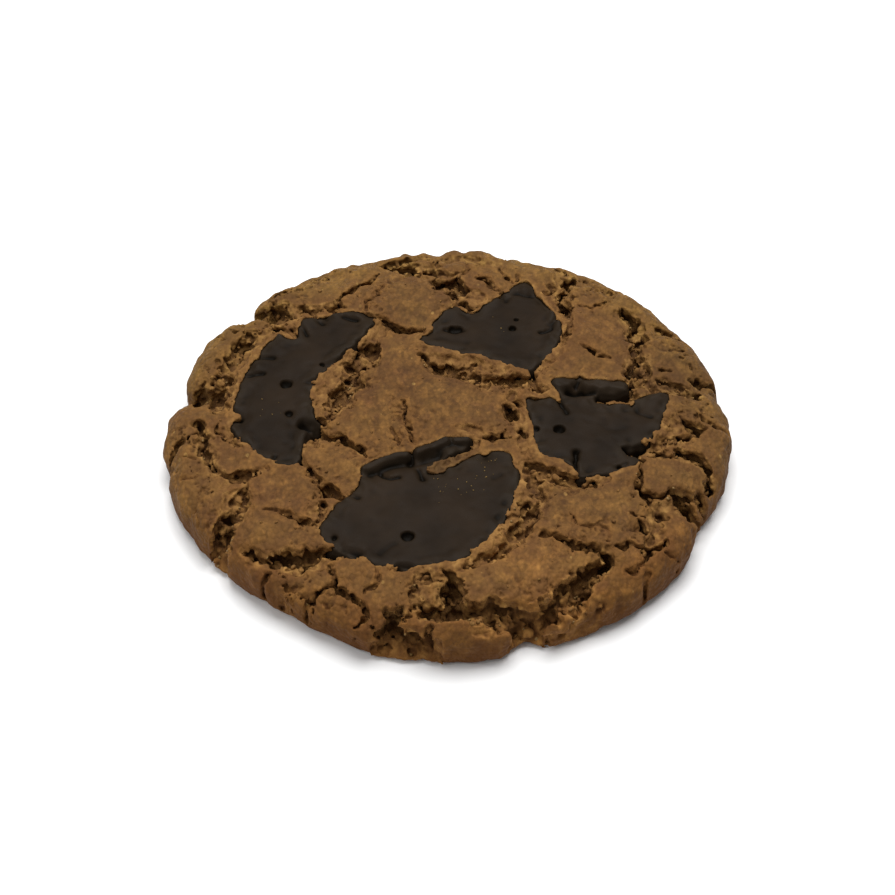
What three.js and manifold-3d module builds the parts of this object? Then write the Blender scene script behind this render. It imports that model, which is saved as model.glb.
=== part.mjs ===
// A round, soft-baked dark chocolate cookie, 91 mm across and about 10 mm high.
// The dough is one solid: a low dome with a flat underside, an uneven outline, a crust that has
// broken into plates, and the cracks and crumbling hollows between the plates.
// Four pieces of dark chocolate lie in pockets in the crust.
// Units are millimetres, +Z is up, and the origin is under the middle of the cookie.

import * as THREE from 'three';
import { mergeVertices } from 'three/addons/utils/BufferGeometryUtils.js';
import Module from 'manifold-3d';

const wasm = await Module();
wasm.setup();

// ---------------------------------------------------------------- driving dimensions

const RADIUS = 45.45; // radius of the outline away from its dents
const WAIST_HEIGHT = 2.2; // height of the widest part of the side
const SHOULDER_HEIGHT = 3.2; // height where the side turns into the dome
const CROWN_HEIGHT = 8.9; // height of the crust in the middle, between its plates
const SHOULDER_POWERS = [6, 3.4]; // how late, and how steeply, the dome drops to the shoulder
const FOOT_INSET = 1.3; // how far the underside's edge lies inside the widest part
const CHOCOLATE_FLOOR = 5.0; // height of the chocolate's underside
const CHOCOLATE_SINK = 0.25; // how far its top lies below the crust around it
const CHOCOLATE_EDGE = 0.4; // bevel of its upper and lower edge
const POCKET_GAP = 0.35; // clearance between chocolate and dough
const POCKET_OPEN = 4; // how far a pocket's cutter reaches above the crown
const OUTLINE_STEP = 2.1; // spacing of points along a chocolate piece's outline
const GROOVE_STEP = 3.0; // spacing of stations along a groove
const RIM_SEGMENTS = 80;

const COLOURS = { crust: 0x79583a, chocolate: 0x332b26 };

// Low, wide dents of the outline and the narrow notches where cracks reach the rim:
// [bearing in degrees, depth, half width in degrees]
const RIM_DENTS = [
  [69, 0.8, 7],
  [108, 0.4, 4],
  [142, 2.1, 3.4],
  [163, 0.7, 6],
  [172, 2.4, 4],
  [190, 0.5, 3],
  [230, 2.0, 24],
  [285, 2.1, 3],
  [333, 1.5, 9],
  [8.5, 0.7, 3],
];

// The plates that stand above the crust round them: [x, y, lift, radius]
const PLATES = [
  [-4, 3, 0.55, 10],
  [-7, 28, 0.6, 8],
  [24, 17, 0.7, 7],
  [29, 29, 0.3, 7],
  [21, -22, 0.55, 8],
  [11, -34, 0.75, 7],
  [-26, -17, 0.45, 6],
  [-25, -26, 0.4, 5],
  [-11, -36, 0.4, 7],
  [-40, -8, 0.35, 6],
  [-18, -11, 0.35, 4],
  [35, -14, 0.5, 4.5],
  [38, 14, 0.4, 6],
  [3, -45, 0.7, 5],
];

// Cracks and crumbling hollows: [half width, depth, ...points of the centre line]
const GROOVES = [
  // left of the middle plate, and round the left piece of chocolate
  [2.3, 2.4, [-12.2, 17], [-15.3, 11], [-16.8, 5], [-18.6, -0.6]],
  [0.9, 2.2, [-21.6, -3.2], [-17.8, -6.2], [-14.5, -8], [-12.2, -11.8]],
  [0.9, 2.2, [-23.8, -9.5], [-21, -14], [-17.8, -18.3], [-14.6, -19]],
  [1.7, 2.0, [-32.4, 20], [-35.6, 13], [-37.2, 7], [-36, 1.4]],
  [1.0, 2.0, [-33, 25.6], [-27.6, 26.4], [-19.5, 26.6]],
  // left rim
  [0.8, 2.2, [-39.6, -0.6], [-37.5, -7], [-35.5, -13], [-32.6, -17]],
  [0.6, 1.8, [-35.4, -14.4], [-31, -14], [-25.6, -12.4]],
  [1.9, 2.2, [-31.4, -16.5], [-32.6, -23.3], [-31.6, -29]],
  // front left
  [0.6, 1.6, [-31, -20.6], [-24, -22.5], [-18.5, -25.6]],
  [1.2, 2.8, [-32.4, -28], [-25.5, -31], [-19, -31.2], [-12.6, -31]],
  [0.7, 1.8, [-17.4, -31.6], [-13.9, -37.2], [-10.4, -41.4]],
  [1.5, 2.4, [-12.4, -40.9], [-6, -42.4], [-1.4, -42]],
  [0.6, 1.6, [-25, -31.6], [-26.4, -36.6], [-29, -40]],
  // front right
  [1.2, 2.5, [-0.6, -32.6], [-0.6, -37.5], [2, -41.6], [9, -41.8]],
  [1.6, 2.6, [22.6, -30], [20, -34.5], [16.5, -39], [8.4, -41.6]],
  [1.0, 2.6, [11, -28.4], [18, -28], [23.2, -29.8], [27.5, -28.8], [32.8, -26]],
  [1.7, 2.0, [11.6, -11], [12.4, -18], [11, -25], [6.2, -31.4]],
  [1.5, 2.0, [12.8, -13.4], [18.5, -16.4], [24.5, -16], [30.4, -13.2]],
  [0.45, 1.4, [17.6, -22.8], [20.6, -24.9], [24, -28.4]],
  // right rim
  [1.3, 2.8, [28.8, -14.6], [30.3, -18.6], [34.5, -18.5], [39.6, -18]],
  [0.6, 2.0, [30.6, -19], [32.4, -23], [36.2, -25.6]],
  [1.0, 2.2, [30.6, -9.6], [36, -9.9], [40.4, -11.4]],
  [0.7, 2.0, [35.9, -1.2], [39, -2.5], [38.6, -4.6], [35.6, -6.2]],
  [1.0, 1.9, [30, 6.8], [35.5, 7], [42.6, 3.3]],
  [1.0, 2.8, [28.6, 26], [31, 20], [30.8, 13], [29.6, 7]],
  // back
  [1.1, 2.6, [21.4, 38], [19.9, 31], [19.8, 25], [20.2, 17.6]],
  [0.5, 1.4, [29, 31], [26.5, 27.2], [20.4, 25.2]],
  [0.5, 1.6, [2.4, 35.2], [6.6, 32.6], [9.4, 29.6]],
  [0.8, 2.0, [-11.8, 22.6], [-7.5, 19.7], [-3.4, 19]],
  [0.5, 1.6, [-15.4, 33], [-13.6, 29], [-13, 24.6]],
  // round the middle plate
  [1.5, 2.2, [-5.4, 16.4], [-3.6, 11.8], [0.5, 9.3], [5.2, 5.2]],
  [0.8, 2.0, [0.5, 9.3], [8.4, 7.6], [13.6, 7.4], [13.4, 3.4]],
  [1.3, 2.2, [11.2, 4.2], [10.6, -1.5], [11.2, -4.6], [6.6, -6.4]],
  [0.45, 1.6, [-6.7, 3], [-6.4, -3], [-4.6, -8.4]],
];

// Open bubbles in the dough, and in each piece of chocolate: [x, y, radius, depth]
const DOUGH_BUBBLES = [
  [0, 31, 1.9, 2.6],
  [-2.6, 35, 1.0, 1.6],
  [18.6, 28.2, 1.0, 2.4],
  [12.5, -21.5, 0.9, 1.8],
  [14.4, -27, 0.9, 1.8],
  [29.3, -25, 0.9, 2.0],
  [-8.6, 38, 0.9, 1.6],
  [37, 6.4, 0.8, 1.6],
  [-37, -32.5, 0.7, 1.2],
  [33.4, 18, 0.8, 1.4],
];

// Each piece of chocolate: its outline, its bubbles, and how its top departs from the crust
const CHOCOLATE = {
  chunk_left: {
    outline: [
      [-11.9, 22.5], [-15, 24.8], [-20, 24.3], [-24, 23], [-25, 19], [-28, 18.6], [-30.4, 15.3],
      [-32.6, 9.5], [-33.7, 2], [-33.9, -3.6], [-30.6, -8.4], [-26.6, -11.3], [-24, -12.6],
      [-22.6, -9], [-21.8, -4.6], [-20, -2.2], [-21.4, 1], [-21.2, 7], [-19.2, 10.4], [-16, 15],
      [-13.4, 18.8],
    ],
    bubbles: [[-25.9, 6.8, 0.9, 1.2], [-24.9, -0.2, 0.6, 0.9]],
    lift: () => 0,
  },
  chunk_back: {
    outline: [
      [-4.8, 17.2], [-2.6, 20.5], [-1.4, 23.6], [1.5, 26.4], [5, 25.4], [8.5, 28.8], [12, 32.4],
      [14.2, 33.3], [15.4, 30.6], [17.6, 25], [19, 18.6], [17, 13.6], [13.6, 9.8], [8.5, 11.4],
      [3.5, 13.7], [-0.7, 15.3],
    ],
    bubbles: [[1.4, 20.5, 1.0, 1.1], [10.9, 20.5, 0.6, 0.8]],
    lift: () => 0,
  },
  chunk_right: {
    outline: [
      [12.6, 2.7], [14.8, 3.5], [17.6, 2.9], [17.8, 4.6], [16.6, 6.6], [19, 7.6], [22, 8],
      [25.5, 7], [28.6, 6.6], [27.6, 5.2], [24.6, 4.9], [23.4, 3.6], [25, 2], [29.3, 1.5],
      [31.5, 3.7], [35.2, 4.7], [35.2, 1.6], [33.4, -3.6], [31, -6.8], [28.4, -8.6], [29.6, -11],
      [26, -14.1], [20.6, -14.8], [19.2, -12.6], [15, -10.8], [13.5, -6.5], [12.9, -1],
    ],
    bubbles: [[17.6, -3.8, 0.9, 1.2], [20.4, 4.9, 0.8, 1.2]],
    lift: (x, y) => 0.5 * THREE.MathUtils.smoothstep(y, 2, 7),
  },
  chunk_front: {
    outline: [
      [-18.9, -25.6], [-16.8, -21.2], [-14, -17.6], [-13.2, -14.6], [-12.2, -11.9], [-9, -10.2],
      [-5, -8.7], [-0.5, -6.5], [2, -6.1], [3.6, -7.1], [1.4, -8.8], [-0.8, -10], [-2.6, -12.2],
      [-2.2, -13.4], [-0.8, -13.2], [1, -12], [4.5, -9.8], [8, -9.1], [9.8, -10.2], [11, -15.5],
      [9.6, -21], [6.6, -27.4], [2.4, -31.5], [-3, -33.1], [-9, -32.7], [-13.5, -30.6],
      [-17.6, -28],
    ],
    bubbles: [[-5.8, -26.7, 0.9, 1.3]],
    // the back edge stands up as a ledge, over a line that runs across the piece
    lift: (x, y) => 0.7 * THREE.MathUtils.smoothstep(y - 0.45 * x, -8, -6),
  },
};

// ---------------------------------------------------------------- outline and crust surface

// A bump of height 1 and given half width
const bump = (distance, halfWidth) => Math.exp(-((distance / halfWidth) ** 2));

// The outline's radius at a bearing in radians
function outlineRadius(bearing) {
  const oval = 0.22 * Math.cos(2 * bearing - 1.05);
  const wave = 0.12 * Math.sin(7 * bearing) + 0.1 * Math.cos(11 * bearing + 1);
  let radius = RADIUS + oval + wave;
  for (const [degrees, depth, halfWidth] of RIM_DENTS) {
    const turn = THREE.MathUtils.radToDeg(bearing) - degrees;
    const away = THREE.MathUtils.euclideanModulo(turn + 180, 360) - 180;
    radius -= depth * bump(away, halfWidth);
  }
  return radius;
}

// How far the crust departs from a plain dome: raised plates and a slow wave
function relief(x, y) {
  let height = 0.12 * Math.sin(0.21 * x + 1) * Math.cos(0.17 * y);
  for (const [px, py, lift, radius] of PLATES) {
    height += lift * bump(Math.hypot(x - px, y - py), radius);
  }
  return height;
}

// Height of the crust's dome at a share of the outline's radius, from 0 to 1
function domeHeight(share) {
  const [late, steep] = SHOULDER_POWERS;
  const rise = Math.max(0, 1 - Math.min(share, 1) ** late) ** (1 / steep);
  return SHOULDER_HEIGHT + (CROWN_HEIGHT - SHOULDER_HEIGHT) * rise;
}

// Height of the crust at a place in plan
function crustHeight(x, y) {
  const share = Math.hypot(x, y) / outlineRadius(Math.atan2(y, x));
  const fade = 1 - THREE.MathUtils.smoothstep(share, 0.93, 1);
  return domeHeight(share) + relief(x, y) * fade;
}

// ---------------------------------------------------------------- solids

// A closed geometry as a manifold solid
function toSolid(geometry) {
  const bare = new THREE.BufferGeometry();
  bare.setAttribute('position', geometry.getAttribute('position').clone());
  if (geometry.index) bare.setIndex(geometry.index.clone());
  const merged = mergeVertices(bare, 1e-4);
  const vertProperties = Float32Array.from(merged.getAttribute('position').array);
  const triVerts = Uint32Array.from(merged.index.array);
  return new wasm.Manifold(new wasm.Mesh({ numProp: 3, vertProperties, triVerts }));
}

// A manifold solid as a mesh with a flat-shaded material of its own
function toMesh(name, solid, colour, roughness) {
  const { vertProperties, triVerts } = solid.getMesh();
  const geometry = new THREE.BufferGeometry();
  geometry.setAttribute('position', new THREE.BufferAttribute(vertProperties, 3));
  geometry.setIndex(new THREE.BufferAttribute(triVerts, 1));
  const material = new THREE.MeshStandardMaterial({
    color: colour, roughness, metalness: 0, flatShading: true,
  });
  const mesh = new THREE.Mesh(geometry, material);
  mesh.name = name;
  return mesh;
}

// The dough before anything is cut from it: a turned profile, then pulled out to the outline
function doughSolid() {
  const shares = [0, 0.18, 0.34, 0.5, 0.64, 0.76, 0.85, 0.91, 0.955, 0.985];
  const profile = shares.map((share) => new THREE.Vector2(share, domeHeight(share)));
  profile.push(new THREE.Vector2(1, SHOULDER_HEIGHT));
  profile.push(new THREE.Vector2(1, WAIST_HEIGHT));
  const foot = 1 - FOOT_INSET / RADIUS;
  profile.push(new THREE.Vector2((1 + foot) / 2, WAIST_HEIGHT * 0.35));
  profile.push(new THREE.Vector2(foot, 0));
  profile.push(new THREE.Vector2(0.5, 0));
  profile.push(new THREE.Vector2(0, 0));
  const geometry = new THREE.LatheGeometry(profile.reverse(), RIM_SEGMENTS);
  geometry.rotateX(Math.PI / 2);
  const position = geometry.getAttribute('position');
  for (let i = 0; i < position.count; i++) {
    const bearing = Math.atan2(position.getY(i), position.getX(i));
    const share = Math.hypot(position.getX(i), position.getY(i));
    const radius = share < 1e-6 ? 0 : share * outlineRadius(bearing);
    const x = radius * Math.cos(bearing);
    const y = radius * Math.sin(bearing);
    const top = position.getZ(i) > SHOULDER_HEIGHT;
    position.setXYZ(i, x, y, top ? crustHeight(x, y) : position.getZ(i));
  }
  return toSolid(geometry);
}

// A smooth curve through points in plan
function smoothCurve(points, closed) {
  const places = points.map(([x, y]) => new THREE.Vector3(x, y, 0));
  return new THREE.CatmullRomCurve3(places, closed, 'centripetal');
}

// The cutter of one groove: a tapered channel that follows the crust at a given depth
function grooveSolid([halfWidth, depth, ...points]) {
  const ABOVE = 1.2; // the cutter stands this far out of the crust
  const FLOOR_SHARE = 0.45; // width of the channel's floor over its width at the crust
  const curve = smoothCurve(points, false);
  const steps = Math.max(3, Math.round(curve.getLength() / GROOVE_STEP));
  const vertices = [];
  const faces = [];
  for (let i = 0; i <= steps; i++) {
    const along = i / steps;
    const { x, y } = curve.getPointAt(along);
    const tangent = curve.getTangentAt(along);
    const taper = 0.4 + 0.6 * Math.sin(Math.PI * along) ** 0.35;
    const ragged = 1 + 0.22 * Math.sin(2.7 * i + x);
    const width = halfWidth * taper * ragged;
    const deep = depth * (0.55 + 0.45 * Math.sin(Math.PI * along) ** 0.35);
    const spread = width * (1 + (ABOVE * (1 - FLOOR_SHARE)) / deep);
    const surface = crustHeight(x, y);
    const ring = [
      [spread, surface + ABOVE],
      [-spread, surface + ABOVE],
      [-width * FLOOR_SHARE, surface - deep],
      [width * FLOOR_SHARE, surface - deep],
    ];
    for (const [aside, z] of ring) {
      vertices.push(x - tangent.y * aside, y + tangent.x * aside, z);
    }
    if (i === 0) continue;
    for (let side = 0; side < 4; side++) {
      const next = (side + 1) % 4;
      const [a, b] = [4 * (i - 1) + side, 4 * (i - 1) + next];
      const [c, d] = [4 * i + next, 4 * i + side];
      faces.push(a, b, c, a, c, d);
    }
  }
  const last = 4 * steps;
  faces.push(0, 2, 1, 0, 3, 2, last, last + 1, last + 2, last, last + 2, last + 3);
  const geometry = new THREE.BufferGeometry();
  geometry.setAttribute('position', new THREE.Float32BufferAttribute(vertices, 3));
  geometry.setIndex(faces);
  return toSolid(geometry);
}

// The cutter of one open bubble: a faceted ball with its middle near the surface
function bubbleSolid([x, y, radius, depth]) {
  const geometry = new THREE.SphereGeometry(1, 6, 4);
  geometry.rotateX(Math.PI / 2);
  geometry.scale(radius, radius, depth);
  geometry.translate(x, y, crustHeight(x, y) - CHOCOLATE_SINK);
  return toSolid(geometry);
}

// A closed outline in plan, moved outwards by a distance
function offsetOutline(points, distance) {
  const curve = smoothCurve(points, true);
  const count = Math.round(curve.getLength() / OUTLINE_STEP);
  const dense = curve.getSpacedPoints(count).slice(0, count);
  const turn = Math.sign(THREE.ShapeUtils.area(dense));
  return dense.map((here, i) => {
    const before = dense[(i + count - 1) % count];
    const after = dense[(i + 1) % count];
    const [inX, inY] = [here.x - before.x, here.y - before.y];
    const [outX, outY] = [after.x - here.x, after.y - here.y];
    const first = new THREE.Vector2(inY, -inX).normalize();
    const second = new THREE.Vector2(outY, -outX).normalize();
    const mitre = first.clone().add(second).normalize();
    const reach = distance / Math.max(0.5, mitre.dot(first));
    return new THREE.Vector2(here.x, here.y).addScaledVector(mitre, turn * reach);
  });
}

// A prism on an outline in plan. Its underside is flat, and its top follows a height in plan.
function prismSolid(outline, floor, topHeight, edge) {
  const shape = new THREE.Shape(outline);
  const bevel = { bevelThickness: edge, bevelSize: edge, bevelOffset: -edge, bevelSegments: 1 };
  const depth = 1; // stands for the straight part of the wall until the top is fitted
  const options = { depth, steps: 1, bevelEnabled: edge > 0, ...bevel };
  const geometry = new THREE.ExtrudeGeometry(shape, options);
  const position = geometry.getAttribute('position');
  for (let i = 0; i < position.count; i++) {
    const [x, y, z] = [position.getX(i), position.getY(i), position.getZ(i)];
    const isTop = z > depth / 2;
    position.setZ(i, isTop ? topHeight(x, y) - (depth + edge - z) : floor + edge + z);
  }
  return toSolid(geometry);
}

// ---------------------------------------------------------------- the cookie

const cookie = new THREE.Group();
let dough = doughSolid();

for (const groove of GROOVES) dough = dough.subtract(grooveSolid(groove));
for (const bubble of DOUGH_BUBBLES) dough = dough.subtract(bubbleSolid(bubble));

for (const [name, { outline, bubbles, lift }] of Object.entries(CHOCOLATE)) {
  const top = (x, y) => crustHeight(x, y) - CHOCOLATE_SINK + lift(x, y);
  let piece = prismSolid(offsetOutline(outline, 0), CHOCOLATE_FLOOR, top, CHOCOLATE_EDGE);
  for (const bubble of bubbles) piece = piece.subtract(bubbleSolid(bubble));
  const mouth = () => CROWN_HEIGHT + POCKET_OPEN;
  const pocketFloor = CHOCOLATE_FLOOR - POCKET_GAP;
  dough = dough.subtract(prismSolid(offsetOutline(outline, POCKET_GAP), pocketFloor, mouth, 0));
  cookie.add(toMesh(name, piece, COLOURS.chocolate, 0.5));
}

cookie.add(toMesh('cookie_dough', dough, COLOURS.crust, 0.9));

// the origin lies under the middle of the whole
const middle = new THREE.Box3().setFromObject(cookie).getCenter(new THREE.Vector3());
cookie.position.set(-middle.x, -middle.y, 0);

export default cookie;
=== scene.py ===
"""Looks of a round, soft-baked dark chocolate cookie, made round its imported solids.

Plan coordinates are millimetres: x to the right, y to the back, z up from the underside.
The dough is one closed surface taken from a distance field: an unbroken cookie, from which cracks,
crumbling hollows and pores are carved, and whose broken faces are roughened into crumb.
Each piece of chocolate is a closed surface of its own, made the same way.
"""

import math

import bpy
import numpy as np
import openvdb
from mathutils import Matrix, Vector


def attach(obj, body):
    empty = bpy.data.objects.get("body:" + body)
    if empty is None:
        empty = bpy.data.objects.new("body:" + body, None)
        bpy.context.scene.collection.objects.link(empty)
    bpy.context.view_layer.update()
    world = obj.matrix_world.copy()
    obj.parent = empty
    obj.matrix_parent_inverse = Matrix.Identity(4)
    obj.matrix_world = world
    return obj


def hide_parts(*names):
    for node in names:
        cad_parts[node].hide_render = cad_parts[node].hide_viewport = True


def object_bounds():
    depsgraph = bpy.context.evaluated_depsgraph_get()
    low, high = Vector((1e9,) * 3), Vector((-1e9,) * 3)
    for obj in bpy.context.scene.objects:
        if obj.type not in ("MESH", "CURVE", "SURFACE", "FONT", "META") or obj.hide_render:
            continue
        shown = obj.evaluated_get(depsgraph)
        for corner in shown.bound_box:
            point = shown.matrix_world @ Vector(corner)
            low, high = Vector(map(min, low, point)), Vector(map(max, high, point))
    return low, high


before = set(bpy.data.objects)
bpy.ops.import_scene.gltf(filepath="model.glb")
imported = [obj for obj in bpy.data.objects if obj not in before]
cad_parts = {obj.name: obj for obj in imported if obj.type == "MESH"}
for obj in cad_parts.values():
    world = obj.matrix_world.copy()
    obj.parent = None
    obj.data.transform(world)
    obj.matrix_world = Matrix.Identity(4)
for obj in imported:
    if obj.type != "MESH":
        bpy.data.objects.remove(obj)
cad_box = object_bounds()

MM = 0.001
BODY = "root"

# ------------------------------------------------------------------ camera, as the picture was taken

LENS = 70.0  # mm
SENSOR = 36.0  # mm wide
ELEVATION = math.radians(44.0)
TARGET = Vector((0.0, -4.0, 4.5)) * MM  # what the camera looks at
DISTANCE = 275.4 * MM  # from the camera to it


def make_camera():
    data = bpy.data.cameras.new("camera")
    data.lens = LENS
    data.sensor_width = SENSOR
    data.clip_start = 0.01
    data.clip_end = 10.0
    camera = bpy.data.objects.new("camera", data)
    bpy.context.collection.objects.link(camera)
    back = Vector((0.0, -math.cos(ELEVATION), math.sin(ELEVATION)))
    camera.location = TARGET + back * DISTANCE
    camera.rotation_mode = "QUATERNION"
    camera.rotation_quaternion = (-back).to_track_quat("-Z", "Y")
    bpy.context.scene.camera = camera


make_camera()

# ------------------------------------------------------------------ driving sizes, in mm

RADIUS = 45.45  # of the outline, away from its dents
WAIST_HEIGHT = 2.2  # height of the widest part of the side
SHOULDER_HEIGHT = 3.2  # height where the side turns into the dome
CROWN_HEIGHT = 8.9  # height of the dome's middle
SHOULDER_POWERS = (6.0, 3.4)  # the greater they are, the flatter the dome and the squarer its shoulder
FOOT_INSET = 1.3  # how far the side curls under at the foot
CHOCOLATE_FLOOR = 5.0  # height of the chocolate's underside
CHOCOLATE_SINK = 0.4  # how far the chocolate's upper face lies below the crust
CHOCOLATE_GAP = 0.07  # between the dough and each piece of chocolate
BREAK_SHIFT = 1.8  # the most that a break wanders from its drawn line below the crust
UNDERCUT = 1.2  # how far the breaks run back under the plates behind them
HAIR = 0.026  # how far inside the box of the solids the dough stays, before rounding to hundredths
HALF_WIDTH, HALF_LENGTH, HIGHEST = np.round(np.array(cad_box[1]) / MM - HAIR, 2)

SPACING = 0.22  # of the distance field's grid
REACH = 46.5  # the grid's half width
GRID_FLOOR = -0.9
GRID_TOP = 10.3
FAR = 9.0  # stands for any distance too great to matter

# dents of the outline, and its notches at cracks: (bearing in degrees, depth, half width in degrees)
RIM_DENTS = [
    (69, 0.8, 7), (108, 0.4, 4), (142, 2.1, 3.4), (163, 0.7, 6), (172, 2.4, 4), (190, 0.5, 3),
    (230, 2.0, 24), (285, 2.1, 3), (333, 1.5, 9), (8.5, 0.7, 3),
]
# notches too fine for the solids, and one slight bulge, whose depth is below zero
FINE_NOTCHES = [
    (193.5, 1.0, 1.1), (94, 1.2, 1.0), (86.5, 1.0, 0.9), (76, 1.1, 0.8), (66, 1.0, 1.2),
    (352.4, 0.7, 1.0), (230.5, 0.5, 1.0), (283.5, 0.8, 1.6), (327.5, 0.9, 1.6), (119, 0.5, 1.0),
    (150, 0.6, 1.0), (207, 0.4, 1.2), (251, 0.5, 1.2), (304, 0.4, 1.0), (38, 0.4, 1.0),
    (141.4, 1.1, 1.4), (170.6, 1.1, 1.4), (103, 0.6, 1.2), (58, 0.5, 1.0),
    (13.4, -0.8, 2.6), (9.2, 1.7, 0.9), (6.6, 0.6, 0.7),
]
# lumps of the far rim, and the dips between them: (x, y, lift, radius)
RIM_LUMPS = [
    (-4.2, 43, 0.35, 1.5), (-1.4, 43.4, -0.5, 0.9), (0.9, 43, -0.3, 1.4), (3, 43, -0.6, 0.8),
    (5.3, 43.4, 0.65, 1.6), (8, 42.2, 0.45, 1.2), (9.8, 42, -0.6, 1.0), (13.8, 41.5, -0.5, 0.9),
    (17.5, 40, -0.5, 1.1), (19.8, 39.2, 0.5, 1.2), (23, 37.6, -0.35, 1.2),
]

# plates that stand above the crust round them: (x, y, lift, radius)
PLATES = [
    (-4, 3, 0.55, 10), (-7, 28, 0.6, 8), (24, 17, 0.7, 7), (29, 29, 0.3, 7), (21, -22, 0.55, 8),
    (11, -34, 0.75, 7), (-26, -17, 0.45, 6), (-25, -26, 0.4, 5), (-11, -36, 0.4, 7),
    (-40, -8, 0.35, 6), (-18, -11, 0.35, 4), (35, -14, 0.5, 4.5), (38, 14, 0.4, 6), (3, -45, 0.7, 5),
]

# paler and darker patches of the crust, partly its baked tone and pale sugar and partly painted light and
# painted shade: (x, y, radius, gain)
TONE_AND_LIGHT_PATCHES = [
    (-4, 4, 13, 0.92), (-7, 28, 10, 0.9), (12, -34, 9, 1.3), (36, 8, 9, 0.76), (-18, -38, 12, 0.95),
    (20, -20, 8, 0.9), (34, -14, 5, 0.9), (12.5, -33.7, 0.8, 1.4), (12.4, -37.2, 0.5, 1.3),
    (-13.6, 32.6, 0.7, 1.35), (-1.4, -12.6, 2.4, 0.4), (1.4, -10.5, 2.2, 0.55), (3.8, -8.8, 1.8, 0.8),
    (-20, -34, 8, 1.1), (-31, -19, 6, 1.08),
]

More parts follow.
